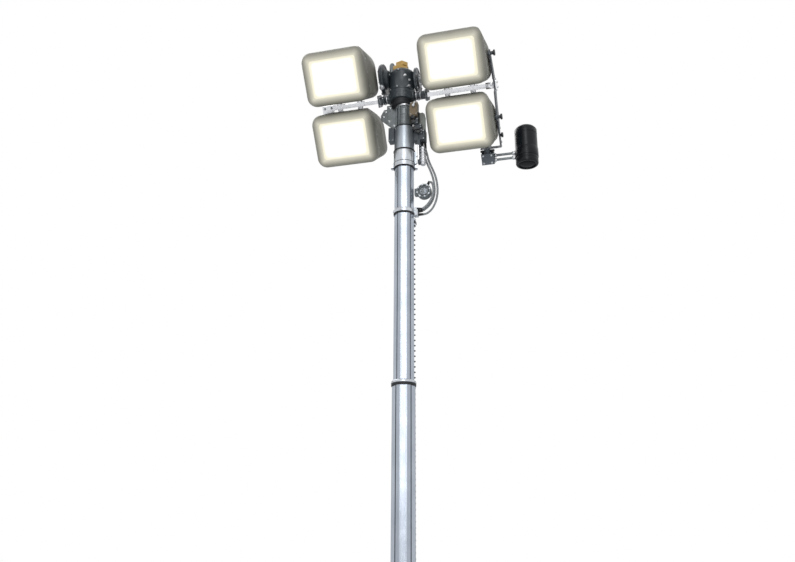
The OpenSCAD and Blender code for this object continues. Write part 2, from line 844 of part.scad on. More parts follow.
// Two arms from the block to the pod, cut to both
module pod_arms() {
    color("gray")
    difference() {
        at_pod()
            for (z = [-pod_arm_rise / 2, pod_arm_rise / 2])
                translate([pod_block_x - pod_x, 0, z])
                    rotate([0, 90, 0]) cylinder(d = pod_arm_d, h = pod_x - pod_block_x - pod_d / 2 + 10);
        in_bank()
            translate([pod_block_x, pod_block_y, pod_block_top - pod_block_h])
                block(pod_block_w + 2 * seat_gap, pod_block_d, pod_block_h);
        at_pod() translate([0, 0, -pod_h]) cylinder(d = pod_d + 2 * seat_gap, h = 2 * pod_h);
    }
}

module sensor_pod() {
    color("black")
    at_pod() {
        translate([0, 0, -pod_drop]) cylinder(d = pod_d, h = pod_h - 10);
        translate([0, 0, pod_h - pod_drop - 10]) cylinder(d1 = pod_d, d2 = pod_d - 20, h = 10);
    }
}

foot_flange();
lower_tube();
guide_collar();
cord_box();
upper_tube();
clamp_ring();
eared_collar();
head_adapter();
spigot();
gusset_bracket();
limit_switch();
gland_plate();
plug_connector();
junction_socket();
service_cable_outer();
service_cable_inner();
socket_cable();
curly_cord();
head_housing();
hex_cap();
left_cover();
right_cover();
tilt_shaft();
tilt_hubs();
left_crossbar();
right_crossbar();
left_side_plate();
right_inner_plate();
right_outer_plate();
left_saddle();
upper_left_lamp();
upper_left_window();
upper_left_heatsink();
lower_left_lamp();
lower_left_window();
lower_left_heatsink();
upper_right_lamp();
upper_right_window();
upper_right_heatsink();
lower_right_lamp();
lower_right_window();
lower_right_heatsink();
pod_block();
pod_arms();
sensor_pod();
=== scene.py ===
"""Looks of a telescopic light mast with a bank of four lit floodlights.

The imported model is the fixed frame. Each class below builds one sub-assembly round it, in metres,
with +Z up along the mast and the lamps facing -Y.
"""

import logging
from collections.abc import Callable, Iterable, Sequence
from dataclasses import dataclass
from enum import Enum
from itertools import pairwise
from math import acos, atan2, copysign, cos, degrees, pi, radians, sin, sqrt, tan, tau

import bpy
from mathutils import Matrix, Vector


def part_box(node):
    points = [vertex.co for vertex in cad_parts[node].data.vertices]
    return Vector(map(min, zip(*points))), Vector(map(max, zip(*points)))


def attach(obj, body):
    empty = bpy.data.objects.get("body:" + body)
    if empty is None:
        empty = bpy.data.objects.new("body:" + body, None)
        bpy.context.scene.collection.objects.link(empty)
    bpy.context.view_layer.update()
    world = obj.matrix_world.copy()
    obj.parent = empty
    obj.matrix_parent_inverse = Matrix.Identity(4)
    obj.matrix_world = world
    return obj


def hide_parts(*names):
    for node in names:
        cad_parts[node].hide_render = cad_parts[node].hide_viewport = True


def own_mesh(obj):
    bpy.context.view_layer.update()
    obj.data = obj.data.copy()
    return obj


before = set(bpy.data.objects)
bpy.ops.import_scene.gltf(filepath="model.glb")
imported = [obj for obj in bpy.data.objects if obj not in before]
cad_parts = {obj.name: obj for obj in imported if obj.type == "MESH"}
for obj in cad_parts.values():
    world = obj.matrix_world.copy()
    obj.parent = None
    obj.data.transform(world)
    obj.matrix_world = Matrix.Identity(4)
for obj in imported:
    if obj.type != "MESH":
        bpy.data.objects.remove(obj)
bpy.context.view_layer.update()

Colour = tuple[float, float, float]
Point = tuple[float, float, float]
Ring = tuple[float, float]
Piece = bpy.types.Object
Material = bpy.types.Material
Tree, Node, Socket = bpy.types.NodeTree, bpy.types.Node, bpy.types.NodeSocket

MM = 0.001
UP, DOWN = (0, 0, 1), (0, 0, -1)
LEFT, RIGHT = (-1, 0, 0), (1, 0, 0)
FRONT, REAR = (0, -1, 0), (0, 1, 0)
CORNERS = ((-1, -1), (-1, 1), (1, -1), (1, 1))
PAN_BODY = "pan_head"
BANK_BODY = "lamp_bank"
MAST_BODY = "upper_mast"
BASE_BODY = "base"
SMOOTH_ANGLE = radians(32)
LAMP_TILT = 36.0

log = logging.getLogger("light_mast")


# ---- places


def low(node: str) -> Vector:
    """Lowest corner of a CAD node's box."""
    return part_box(node)[0]


def high(node: str) -> Vector:
    """Highest corner of a CAD node's box."""
    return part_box(node)[1]


def middle(node: str) -> Vector:
    """Middle of a CAD node's box."""
    return (low(node) + high(node)) / 2


def moved(by: Sequence[float]) -> Matrix:
    """Matrix that moves a piece."""
    return Matrix.Translation(by)


def spin(angle: float, axis: str) -> Matrix:
    """Matrix that turns a piece about an axis, by an angle in degrees."""
    return Matrix.Rotation(radians(angle), 4, axis)


TILT_AXIS = Vector((0.0, 0.0, middle("tilt_shaft").z))
BANK = moved(TILT_AXIS) @ spin(LAMP_TILT, "X")


def facing(at: Sequence[float], towards: Sequence[float], turn: float = 0.0) -> Matrix:
    """Place and turn a part that was built at the origin, pointing up.

    Args:
        at: Where the part's origin goes.
        towards: The direction that its +Z takes.
        turn: Turn about its own axis, in degrees.

    Returns:
        The matrix that puts the part there.
    """
    turned_to = Vector(towards).to_track_quat("Z", "Y").to_matrix().to_4x4()
    return moved(Vector(at)) @ turned_to @ spin(turn, "Z")


def round_mast(angle: float, radius: float, height: float, turn: float = 0.0) -> Matrix:
    """A place on a cylinder about the mast's axis, facing outwards.

    Args:
        angle: Direction round the mast, in degrees from +X.
        radius: Distance from the mast's axis.
        height: Height above the foot.
        turn: Turn about the outward direction, in degrees.

    Returns:
        The matrix of that place.
    """
    out = Vector((cos(radians(angle)), sin(radians(angle)), 0.0))
    return facing(out * radius + Vector((0, 0, height)), out, turn)


# ---- modelling moves


def clear_selection() -> None:
    """Deselect every object."""
    bpy.ops.object.select_all(action="DESELECT")


def show(thing: Piece) -> None:
    """Add an object to the scene."""
    bpy.context.scene.collection.objects.link(thing)


def pick(piece: Piece) -> None:
    """Select one object alone and make it active."""
    clear_selection()
    piece.select_set(True)
    bpy.context.view_layer.objects.active = piece


def select_all() -> None:
    """Select everything in the piece that is open."""
    bpy.ops.mesh.select_all(action="SELECT")


def start_editing(piece: Piece, elements: str = "FACE") -> None:
    """Open a piece for modelling, with all of it selected by one kind of element.

    Args:
        piece: The piece to open.
        elements: VERT, EDGE or FACE.
    """
    pick(piece)
    bpy.ops.object.mode_set(mode="EDIT")
    bpy.ops.mesh.select_mode(type=elements)
    select_all()


def stop_editing() -> None:
    """Close the piece that is open for modelling."""
    bpy.ops.object.mode_set(mode="OBJECT")


def take_new(name: str) -> Piece:
    """Name the primitive that was just added and fix its place and size in its mesh.

    Args:
        name: The piece's name.

    Returns:
        The piece.
    """
    piece = bpy.context.object
    piece.name = name
    piece.data.name = name
    bpy.ops.object.transform_apply(location=True, rotation=True, scale=True)
    return piece


def select_faces(piece: Piece, wanted: Callable[[bpy.types.MeshPolygon], bool]) -> None:
    """Leave only the wanted faces selected. The piece is open for modelling before and after.

    Args:
        piece: The open piece.
        wanted: Says whether a face is wanted, from its centre and normal.
    """
    bpy.ops.mesh.select_all(action="DESELECT")
    stop_editing()
    for face in piece.data.polygons:
        face.select = wanted(face)
    bpy.ops.object.mode_set(mode="EDIT")


def modify(piece: Piece, kind: str, **settings: object) -> None:
    """Add a modifier, set it up and apply it.

    Args:
        piece: The piece to change.
        kind: The modifier's type.
        **settings: The modifier's settings.
    """
    pick(piece)
    modifier = piece.modifiers.new(kind.title(), kind)
    for name, value in settings.items():
        setattr(modifier, name, value)
    bpy.ops.object.modifier_apply(modifier=modifier.name)


def tidy_mesh(piece: Piece, merge: float = 1e-5) -> None:
    """Merge doubled points and turn every face outwards.

    Args:
        piece: The piece to tidy.
        merge: Distance under which points are one.
    """
    start_editing(piece)
    bpy.ops.mesh.remove_doubles(threshold=merge)
    bpy.ops.mesh.normals_make_consistent(inside=False)
    stop_editing()


def smooth(piece: Piece, angle: float = SMOOTH_ANGLE) -> Piece:
    """Shade a piece smooth, with its sharp edges kept.

    Args:
        piece: The piece to shade.
        angle: The angle above which an edge stays sharp.

    Returns:
        The same piece.
    """
    pick(piece)
    bpy.ops.object.shade_smooth_by_angle(angle=angle)
    return piece


def mark(piece: Piece, name: str, share: Callable[[Vector], float]) -> None:
    """Store a share from 0 to 1 at each point of a piece, for its finish to read.

    Args:
        piece: The piece.
        name: The attribute's name.
        share: Gives the share at a point.
    """
    layer = piece.data.attributes.new(name, "FLOAT", "POINT")
    for point in piece.data.vertices:
        layer.data[point.index].value = share(point.co)


def extrude(move: Sequence[float], grow: Sequence[float] = (1, 1, 1), about: Sequence[float] = (0, 0, 0)) -> None:
    """Extrude what is selected, move it and scale it.

    Args:
        move: How far the new faces or edges go.
        grow: Scale of the new faces or edges on each axis.
        about: The point that they are scaled about.
    """
    bpy.ops.mesh.extrude_region_move(TRANSFORM_OT_translate={"value": tuple(move)})
    if tuple(grow) != (1, 1, 1):
        bpy.ops.transform.resize(value=tuple(grow), center_override=tuple(about))


def profile(points: Iterable[Ring], first: float = 0.0, second: float = 0.0, unit: float = MM) -> list[Ring]:
    """Points of a profile or an outline, written as offsets.

    Args:
        points: The offsets, in millimetres unless a unit is given.
        first: Metres that each point's first number starts from.
        second: Metres that each point's second number starts from.
        unit: Metres to one unit of the offsets.

    Returns:
        The points in metres.
    """
    return [(first + a * unit, second + b * unit) for a, b in points]


def turned(name: str, rings: Sequence[Ring], sides: int = 48, hollow: bool = False) -> Piece:
    """A part turned about Z, made ring by ring.

    Args:
        name: The piece's name.
        rings: Radius and height of each ring, from the first to the last, in metres.
        sides: Number of sides all round.
        hollow: Whether the last ring joins the first, as on a ring with a bore.

    Returns:
        The closed piece.
    """
    clear_selection()
    radius, height = rings[0]
    fill = "NOTHING" if hollow else "NGON"
    bpy.ops.mesh.primitive_circle_add(vertices=sides, radius=radius, fill_type=fill, location=(0, 0, height))
    piece = take_new(name)
    start_editing(piece, "EDGE" if hollow else "FACE")
    path = [*rings, rings[0]] if hollow else rings
    for (near_r, near_z), (far_r, far_z) in pairwise(path):
        ratio = far_r / near_r
        extrude((0, 0, far_z - near_z), (ratio, ratio, 1), (0, 0, far_z))
    stop_editing()
    tidy_mesh(piece)
    return piece


def block(name: str, centre: Sequence[float], size: Sequence[float], edge: float, steps: int = 3) -> Piece:
    """A block with rounded edges.

    Args:
        name: The piece's name.
        centre: Its middle.
        size: Its width, depth and height.
        edge: Radius of its edges.
        steps: Segments in each edge.

    Returns:
        The block.
    """
    clear_selection()
    bpy.ops.mesh.primitive_cube_add(size=1, location=tuple(centre), scale=tuple(size))
    piece = take_new(name)
    start_editing(piece, "EDGE")
    bpy.ops.mesh.bevel(offset=edge, segments=steps, profile=0.5)
    stop_editing()
    return piece


def plate(name: str, outline: Sequence[tuple[float, float]], thickness: float, edge: float = 0.001) -> Piece:
    """A flat plate in the XY plane, thick along Z about the plane, with rounded edges.

    Args:
        name: The piece's name.
        outline: Its corners, in order.
        thickness: Its thickness.
        edge: Radius of its edges.

    Returns:
        The plate.
    """
    mesh = bpy.data.meshes.new(name)
    mesh.from_pydata([(x, y, -thickness / 2) for x, y in outline], [], [range(len(outline))])
    piece = bpy.data.objects.new(name, mesh)
    show(piece)
    start_editing(piece)
    extrude((0, 0, thickness))
    stop_editing()
    tidy_mesh(piece)
    modify(piece, "BEVEL", width=edge, segments=2, limit_method="ANGLE", angle_limit=radians(40))
    return piece


def sink_panel(piece: Piece, way: int, least: float, border: float, wall: float, deep: float) -> None:
    """Sink a panel into a block's front or back.

    Args:
        piece: The block.
        way: -1 for the front, 1 for the back.
        least: Area that only the wanted face has.
        border: Width of the border that stays.
        wall: Width of the sloping wall inside it.
        deep: How far the panel is sunk.
    """
    start_editing(piece)
    select_faces(piece, lambda face: face.normal.y * way > 0.9 and face.area > least)
    bpy.ops.mesh.inset(thickness=border, depth=0.0)
    bpy.ops.mesh.inset(thickness=wall, depth=-deep)
    stop_editing()


def drill(piece: Piece, places: Iterable[Matrix], radius: float, depth: float, sides: int = 32) -> None:
    """Cut round holes into a piece.

    Args:
        piece: The piece to cut.
        places: Middle and direction of each hole.
        radius: The holes' radius.
        depth: How deep each hole reaches, half to each side of its middle.
        sides: Number of sides of a hole.
    """
    for place in places:
        cutter = turned("cutter", [(radius, -depth / 2), (radius, depth / 2)], sides)
        cutter.data.transform(place)
        modify(piece, "BOOLEAN", operation="DIFFERENCE", solver="EXACT", object=cutter)
        bpy.data.objects.remove(cutter)


def put(piece: Piece, place: Matrix) -> Piece:
    """Move a piece's mesh to its place, with the object left at the origin.

    Args:
        piece: The piece.
        place: Where it goes.

    Returns:
        The same piece.
    """
    piece.data.transform(place)
    if place.determinant() < 0:
        tidy_mesh(piece)
    return piece


def copies(name: str, model: Piece, places: Iterable[Matrix], keep: bool = False) -> Piece:
    """Copy a model to several places, each with its own mesh, and join the copies.

    Args:
        name: The joined piece's name.
        model: What is copied.
        places: Where the copies go.
        keep: Whether the model stays for another use.

    Returns:
        The joined piece.
    """
    made = []
    for place in places:
        one = model.copy()
        one.data = model.data.copy()
        show(one)
        made.append(put(one, place))
    if not keep:
        bpy.data.objects.remove(model)
    return joined(name, made)


def joined(name: str, parts: Sequence[Piece]) -> Piece:
    """Join several meshes into one piece.

    Args:
        name: The joined piece's name.
        parts: The meshes.

    Returns:
        The piece.
    """
    clear_selection()
    for part in parts:
        part.select_set(True)
    bpy.context.view_layer.objects.active = parts[0]
    if len(parts) > 1:
        bpy.ops.object.join()
    piece = parts[0]
    piece.name = name
    piece.data.name = name
    return piece


def smooth_path(points: Sequence[Point], steps: int = 6) -> list[Vector]:
    """A smooth line through given points.

    Args:
        points: The points, in metres.
        steps: Points made between each pair.

    Returns:
        The line's points.
    """
    route = [Vector(p) for p in points]
    ends = [route[0] * 2 - route[1], *route, route[-1] * 2 - route[-2]]
    line = []
    for a, b, c, d in zip(ends, ends[1:], ends[2:], ends[3:]):
        for k in range(steps):
            t = k / steps
            line.append(0.5 * (2 * b + (c - a) * t + (2 * a - 5 * b + 4 * c - d) * t * t
                + (3 * b - a - 3 * c + d) * t**3))
    line.append(route[-1])
    return line


def swept(name: str, line: Sequence[Vector], radius: float, sides: int = 12) -> Piece:
    """A round cable along a line, with its length in metres on its UV map.

    Args:
        name: The piece's name.
        line: The points that it follows.
        radius: Half its thickness.
        sides: Number of sides all round.

    Returns:
        The closed cable.
    """
    points, faces, runs = [], [], [0.0]
    across = (line[1] - line[0]).orthogonal().normalized()
    for i, at in enumerate(line):
        along = (line[min(i + 1, len(line) - 1)] - line[max(i - 1, 0)]).normalized()
        across = (across - along * across.dot(along)).normalized()
        other = along.cross(across)
        for k in range(sides):
            turn = tau * k / sides
            points.append(at + (across * cos(turn) + other * sin(turn)) * radius)
    for a, b in pairwise(line):
        runs.append(runs[-1] + (b - a).length)
    last = len(line) - 1
    for i in range(last):
        for k in range(sides):
            n = (k + 1) % sides
            faces.append((i * sides + k, i * sides + n, (i + 1) * sides + n, (i + 1) * sides + k))
    faces.append(tuple(reversed(range(sides))))
    faces.append(tuple(last * sides + k for k in range(sides)))
    mesh = bpy.data.meshes.new(name)
    mesh.from_pydata(points, [], faces)
    layer = mesh.uv_layers.new(name="along")
    for face in mesh.polygons:
        walls = len(face.vertices) == 4
        for corner, loop in enumerate(face.loop_indices):
            i, k = divmod(face.vertices[corner], sides)
            round_it = k + (sides if walls and k == 0 and corner in (1, 2) else 0)
            layer.data[loop].uv = (round_it / sides, runs[i])
    piece = bpy.data.objects.new(name, mesh)
    show(piece)
    smooth(piece, radians(60))
    return piece


# ---- shared effects


class Effect:
    """A shader node group under construction."""

    def __init__(self, name: str, takes: Sequence[tuple[str, str, object]], gives: Sequence[tuple[str, str]]) -> None:
        """Make the group and its sockets.

        Args:
            name: The group's name.
            takes: Name, kind and default of each input.
            gives: Name and kind of each output.
        """
        self.tree = bpy.data.node_groups.new(name, "ShaderNodeTree")
        for label, kind, default in takes:
            socket = self.tree.interface.new_socket(label, in_out="INPUT", socket_type=f"NodeSocket{kind}")
            if default is not None:
                socket.default_value = default
        for label, kind in gives:
            self.tree.interface.new_socket(label, in_out="OUTPUT", socket_type=f"NodeSocket{kind}")
        self.inputs = self.tree.nodes.new("NodeGroupInput").outputs
        self.result = self.tree.nodes.new("NodeGroupOutput")

    def node(self, kind: str, **settings: object) -> Node:
        """Add a node to the group."""
        return add_node(self.tree, kind, **settings)


def feed(node: Node, **values: object) -> Node:
    """Set a node's inputs, by number or by name.

    Args:
        node: The node.
        **values: The value or the socket that each input gets.

    Returns:
        The node.
    """
    for name, value in values.items():
        socket = node.inputs[int(name) if name.isdigit() else name.replace("_", " ")]
        if isinstance(value, Socket):
            node.id_data.links.new(value, socket)
        elif value is not None:
            socket.default_value = value
    return node


def add_node(tree: Tree, kind: str, **settings: object) -> Node:
    """Add a node and set it up. A setting named in_X feeds input X, by number or by name.

    Args:
        tree: The tree that gets the node.
        kind: The node's type after ShaderNode.
        **settings: Properties of the node, and values or sockets for its inputs.

    Returns:
        The node.
    """
    node = tree.nodes.new(f"ShaderNode{kind}")
    for name, value in settings.items():
        if name.startswith("in_"):
            feed(node, **{name[3:]: value})
        else:
            setattr(node, name, value)
    return node


def math_node(tree: Tree, operation: str, a: object, b: object = None) -> Socket:
    """A sum, product or other operation on one or two numbers or sockets.

    Args:
        tree: The tree that gets the node.
        operation: The operation's name.
        a: The first number or socket.
        b: The second number or socket.

    Returns:
        The result's socket.
    """
    return add_node(tree, "Math", operation=operation, in_0=a, in_1=b).outputs[0]


def span(tree: Tree, value: object, start: float, end: float, low_to: float = 0.0, high_to: float = 1.0) -> Socket:
    """Map a value from one range smoothly onto another.

    Args:
        tree: The tree that gets the node.
        value: The socket to map.
        start: Where the range starts.
        end: Where the range ends.
        low_to: Result at its start.
        high_to: Result at its end.

    Returns:
        The result's socket.
    """
    node = add_node(tree, "MapRange", interpolation_type="SMOOTHSTEP", in_0=value, in_1=start, in_2=end, in_3=low_to,
        in_4=high_to)
    return node.outputs[0]


def colour_mix(tree: Tree, share: object, first: object, second: object, blend: str = "MIX") -> Socket:
    """Mix two colours.

    Args:
        tree: The tree that gets the node.
        share: How much of the second colour.
        first: The first colour or socket.
        second: The second colour or socket.
        blend: The way that they mix.

    Returns:
        The mixed colour's socket.
    """
    first, second = (value if isinstance(value, Socket) else (*value, 1.0) for value in (first, second))
    return add_node(tree, "Mix", data_type="RGBA", blend_type=blend, in_0=share, in_6=first, in_7=second).outputs[2]


def grain_effect() -> Tree:
    """Fine surface grain: a height for bump and a cloudy shade for colour and gloss.

    Returns:
        The node group, with Height and Cloud outputs.
    """
    effect = Effect("surface_grain", [("Vector", "Vector", None), ("Scale", "Float", 900.0),
        ("Cloud Scale", "Float", 9.0)], [("Height", "Float"), ("Cloud", "Float")])
    fine = effect.node("TexNoise", in_Vector=effect.inputs["Vector"], in_Scale=effect.inputs["Scale"], in_Detail=3.0)
    coarse = effect.node("TexNoise", in_Vector=effect.inputs["Vector"], in_Scale=effect.inputs["Cloud Scale"],
        in_Detail=5.0, in_Roughness=0.62)
    feed(effect.result, Height=fine.outputs[0], Cloud=coarse.outputs[0])
    return effect.tree


def wear_effect() -> Tree:
    """Wear along edges: a mask that is strongest on sharp convex edges and broken up by noise.

    Returns:
        The node group, with a Mask output.
    """
    effect = Effect("edge_wear", [("Vector", "Vector", None), ("Amount", "Float", 0.5)], [("Mask", "Float")])
    tree = effect.tree
    point = effect.node("NewGeometry").outputs["Pointiness"]
    edge = span(tree, point, 0.52, 0.6)
    chips = effect.node("TexNoise", in_Vector=effect.inputs["Vector"], in_Scale=85.0, in_Detail=6.0,
        in_Roughness=0.7).outputs[0]
    broken = span(tree, chips, 0.42, 0.62)
    mask = math_node(tree, "MULTIPLY", math_node(tree, "MULTIPLY", edge, broken), effect.inputs["Amount"])
    feed(effect.result, Mask=mask)
    return tree


def dust_effect() -> Tree:
    """Dust that settles on faces that look up.

    Returns:
        The node group, with a Mask output.
    """
    effect = Effect("settled_dust", [("Vector", "Vector", None), ("Amount", "Float", 0.3)], [("Mask", "Float")])
    tree = effect.tree
    normal = effect.node("NewGeometry").outputs["Normal"]
    up = effect.node("SeparateXYZ", in_0=normal).outputs[2]
    lie = span(tree, up, 0.25, 0.95)
    patches = effect.node("TexNoise", in_Vector=effect.inputs["Vector"], in_Scale=28.0, in_Detail=5.0).outputs[0]
    mask = math_node(tree, "MULTIPLY", math_node(tree, "MULTIPLY", lie, span(tree, patches, 0.3, 0.75)),
        effect.inputs["Amount"])
    feed(effect.result, Mask=mask)
    return tree


def drawn_effect() -> Tree:
    """Long fine lines along Z, as on drawn or brushed metal.

    Returns:
        The node group, with a Lines output.
    """
    effect = Effect("drawn_lines", [("Vector", "Vector", None), ("Across", "Float", 420.0), ("Along", "Float", 3.0)],
        [("Lines", "Float")])
    stretch = effect.node("CombineXYZ", in_0=effect.inputs["Across"], in_1=effect.inputs["Across"],
        in_2=effect.inputs["Along"]).outputs[0]
    place = effect.node("VectorMath", operation="MULTIPLY", in_0=effect.inputs["Vector"], in_1=stretch).outputs[0]
    lines = effect.node("TexNoise", in_Vector=place, in_Scale=1.0, in_Detail=4.0, in_Roughness=0.6)
    feed(effect.result, Lines=lines.outputs[0])
    return effect.tree


EFFECTS = {make.__name__: make() for make in (grain_effect, wear_effect, dust_effect, drawn_effect)}


# ---- finishes


class Special(Enum):
    """Patterns that only some finishes have."""

    NONE = "none"
    FLUTED = "fluted"
    BRAID = "braid"


def new_material(name: str) -> tuple[Material, Tree, Node]:
    """Make an empty material.

    Args:
        name: The material's name.

    Returns:
        The material, its tree and its surface shader.
    """
    material = bpy.data.materials.new(name)
    material.use_nodes = True
    return material, material.node_tree, material.node_tree.nodes["Principled BSDF"]


@dataclass(frozen=True)
class Finish:
    """A procedural finish: its slot in the record, its colour and gloss, and its share of each shared effect."""

    name: str
    slot: str
    colour: Colour
    shade: Colour
    rough: float
    metal: float = 0.0
    coat: float = 0.0
    wear: float = 0.0
    wear_colour: Colour = (0.45, 0.46, 0.47)
    dust: float = 0.15
    dust_colour: Colour = (0.33, 0.31, 0.27)
    grain: float = 0.0004
    grain_scale: float = 900.0
    cloud_scale: float = 9.0
    gloss: float = 0.5
    special: Special = Special.NONE

    def make(self) -> Material:
        """Build the finish.

        Returns:
            The material.
        """
        material, tree, surface = new_material(self.name)
        place = add_node(tree, "TexCoord").outputs["Object"]
        grain = self.effect(tree, "grain_effect", place, Scale=self.grain_scale, Cloud_Scale=self.cloud_scale)
        cloud = span(tree, grain.outputs["Cloud"], 0.3, 0.7)
        colour = colour_mix(tree, cloud, self.colour, self.shade)
        rough = span(tree, grain.outputs["Cloud"], 0.25, 0.75, self.rough * 0.86, min(1.0, self.rough * 1.16))
        height = grain.outputs["Height"]
        colour, rough, height = self.pattern(tree, place, colour, rough, height)
        if self.wear:
            worn = self.effect(tree, "wear_effect", place, Amount=self.wear).outputs["Mask"]
            colour = colour_mix(tree, worn, colour, self.wear_colour)
        if self.dust:
            dusty = self.effect(tree, "dust_effect", place, Amount=self.dust).outputs["Mask"]
            colour = colour_mix(tree, dusty, colour, self.dust_colour)
            rough = math_node(tree, "ADD", rough, math_node(tree, "MULTIPLY", dusty, 0.4))
        bump = add_node(tree, "Bump", in_Strength=0.6, in_Distance=self.grain, in_Height=height)
        feed(surface, Base_Color=colour, Roughness=rough, Normal=bump.outputs[0], Metallic=self.metal,
            Coat_Weight=self.coat, Coat_Roughness=0.18, Specular_IOR_Level=self.gloss)
        return material

    def effect(self, tree: Tree, kind: str, place: Socket, **values: float) -> Node:
        """Place a shared effect with this finish's own values.

        Args:
            tree: The material's tree.
            kind: The effect's name.
            place: The coordinates that it reads.
            **values: Values of its inputs.

        Returns:
            The group node.
        """
        return feed(add_node(tree, "Group", node_tree=EFFECTS[kind]), Vector=place, **values)

    def pattern(self, tree: Tree, place: Socket, colour: Socket, rough: Socket, height: Socket) -> tuple[Socket, ...]:
        """Add the pattern that only this finish has.

        Args:
            tree: The material's tree.
            place: The object coordinates.
            colour: The colour so far.
            rough: The roughness so far.
            height: The bump height so far.

        Returns:
            The colour, roughness and height with the pattern.
        """
        if self.special is Special.FLUTED:
            # Painted shade: the grooves marked by the slot share go near black, for the shadow that lies in them.
            slot = add_node(tree, "Attribute", attribute_name="slot").outputs["Fac"]
            colour = colour_mix(tree, slot, colour, (0.012, 0.013, 0.016))
            lines = self.effect(tree, "drawn_effect", place).outputs["Lines"]
            streaks = math_node(tree, "MULTIPLY", span(tree, lines, 0.35, 0.7, 0.0, 0.45),
                math_node(tree, "SUBTRACT", 1.0, slot))
            colour = colour_mix(tree, streaks, colour, self.shade)
            rough = math_node(tree, "ADD", rough, span(tree, lines, 0.3, 0.7, -0.05, 0.07))
            height = math_node(tree, "ADD", height, lines)
        if self.special is Special.BRAID:
            along = add_node(tree, "SeparateXYZ", in_0=add_node(tree, "UVMap", uv_map="along").outputs[0])
            round_it = math_node(tree, "MULTIPLY", along.outputs[0], tau * 8)
            run = math_node(tree, "MULTIPLY", along.outputs[1], 900.0)
            one = math_node(tree, "SINE", math_node(tree, "ADD", round_it, run))
            two = math_node(tree, "SINE", math_node(tree, "SUBTRACT", round_it, run))
            weave = span(tree, math_node(tree, "MULTIPLY", one, two), -0.5, 0.6)
            colour = colour_mix(tree, weave, self.shade, self.colour)
            height = math_node(tree, "ADD", height, math_node(tree, "MULTIPLY", weave, 3.0))
        return colour, rough, height


@dataclass(frozen=True)
class LampShell(Finish):
    """Powder coat of a lit lamp's body: the window's light spills over its rim."""

    spill_colour: Colour = (0.95, 0.91, 0.74)
    spill_strength: float = 0.5

    def make(self) -> Material:
        """Build the finish, with the spilled light on it.

        Returns:
            The material.
        """
        material = super().make()
        tree = material.node_tree
        surface = tree.nodes["Principled BSDF"]
        spill = add_node(tree, "Attribute", attribute_name="spill").outputs["Fac"]
        base = surface.inputs["Base Color"].links[0].from_socket
        warm = colour_mix(tree, span(tree, spill, 0.0, 1.0, 0.0, 0.1), base, self.spill_colour)
        glow = colour_mix(tree, math_node(tree, "POWER", spill, 1.8), (0.0, 0.0, 0.0), self.spill_colour)
        feed(surface, Base_Color=warm, Emission_Color=glow, Emission_Strength=self.spill_strength)
        return material


@dataclass(frozen=True)
class LitWindow:
    """Frosted window that glows white in the middle and warm towards its edge."""

    name: str
    slot: str
    middle: Colour
    edge: Colour
    strength: float

    def make(self) -> Material:
        """Build the glowing material.

        Returns:
            The material.
        """
        material, tree, surface = new_material(self.name)
        inwards = add_node(tree, "Attribute", attribute_name="inwards").outputs["Fac"]
        place = add_node(tree, "TexCoord").outputs["Object"]
        haze = add_node(tree, "TexNoise", in_Vector=place, in_Scale=22.0, in_Detail=3.0).outputs[0]
        drift = math_node(tree, "MULTIPLY", math_node(tree, "SUBTRACT", haze, 0.5), 0.25)
        share = span(tree, math_node(tree, "ADD", inwards, drift), 0.0, 0.6)
        glow = colour_mix(tree, share, self.edge, self.middle)
        frost = add_node(tree, "TexNoise", in_Vector=place, in_Scale=1400.0, in_Detail=2.0).outputs[0]
        bump = add_node(tree, "Bump", in_Strength=0.3, in_Distance=0.0003, in_Height=frost)
        feed(surface, Emission_Color=glow, Normal=bump.outputs[0], Base_Color=(0.05, 0.05, 0.045, 1.0),
            Emission_Strength=self.strength, Roughness=0.3, Coat_Weight=0.2)
        return material


# The fluted finish paints the tube's grooves near black as painted shade.
TUBE = Finish("drawn_aluminium", "tube_aluminium", (0.44, 0.48, 0.545), (0.36, 0.4, 0.46), 0.26, metal=0.8, dust=0.05,
    grain=0.0002, special=Special.FLUTED)
COLLAR = Finish("machined_aluminium", "collar_aluminium", (0.6, 0.63, 0.67), (0.46, 0.49, 0.53), 0.32, metal=0.9,
    dust=0.1)
CAST = Finish("cast_aluminium", "cast_grey", (0.42, 0.46, 0.5), (0.34, 0.375, 0.415), 0.34, metal=0.8, wear=0.1,
    grain=0.0007, grain_scale=420.0)
SPIGOT = Finish("cast_grey_spigot", "cast_grey", (0.185, 0.205, 0.21), (0.13, 0.145, 0.15), 0.38, metal=0.5, wear=0.2,
    grain=0.0007, grain_scale=420.0)
DARK_CAST = Finish("dark_cast", "cast_grey", (0.105, 0.122, 0.138), (0.085, 0.1, 0.115), 0.5, metal=0.3, wear=0.1,
    grain=0.0007, grain_scale=420.0)
HOUSING = Finish("charcoal_paint", "housing_paint", (0.034, 0.043, 0.05), (0.022, 0.028, 0.034), 0.42, coat=0.1,
    wear=0.6, wear_colour=(0.2, 0.22, 0.24), grain=0.0007, grain_scale=520.0)
BRASS = Finish("cast_brass", "cap_amber", (0.5, 0.31, 0.075), (0.36, 0.205, 0.045), 0.36, metal=0.35, wear=0.6,
    wear_colour=(0.72, 0.52, 0.24), dust=0.05)
TAN = Finish("switch_coat", "switch_tan", (0.235, 0.172, 0.098), (0.165, 0.126, 0.075), 0.5, wear=0.5,
    wear_colour=(0.42, 0.36, 0.26))
STEEL = Finish("zinc_steel", "plug_metal", (0.62, 0.63, 0.64), (0.46, 0.47, 0.49), 0.3, metal=0.9, dust=0.1)
BAR = Finish("galvanised_steel", "bar_steel", (0.99, 0.99, 0.99), (0.93, 0.93, 0.94), 0.14, metal=1.0, dust=0.02,
    cloud_scale=60.0)
PLATE = Finish("dark_plate_paint", "plate_paint", (0.06, 0.07, 0.08), (0.035, 0.043, 0.05), 0.48, wear=0.7,
    grain=0.0006)
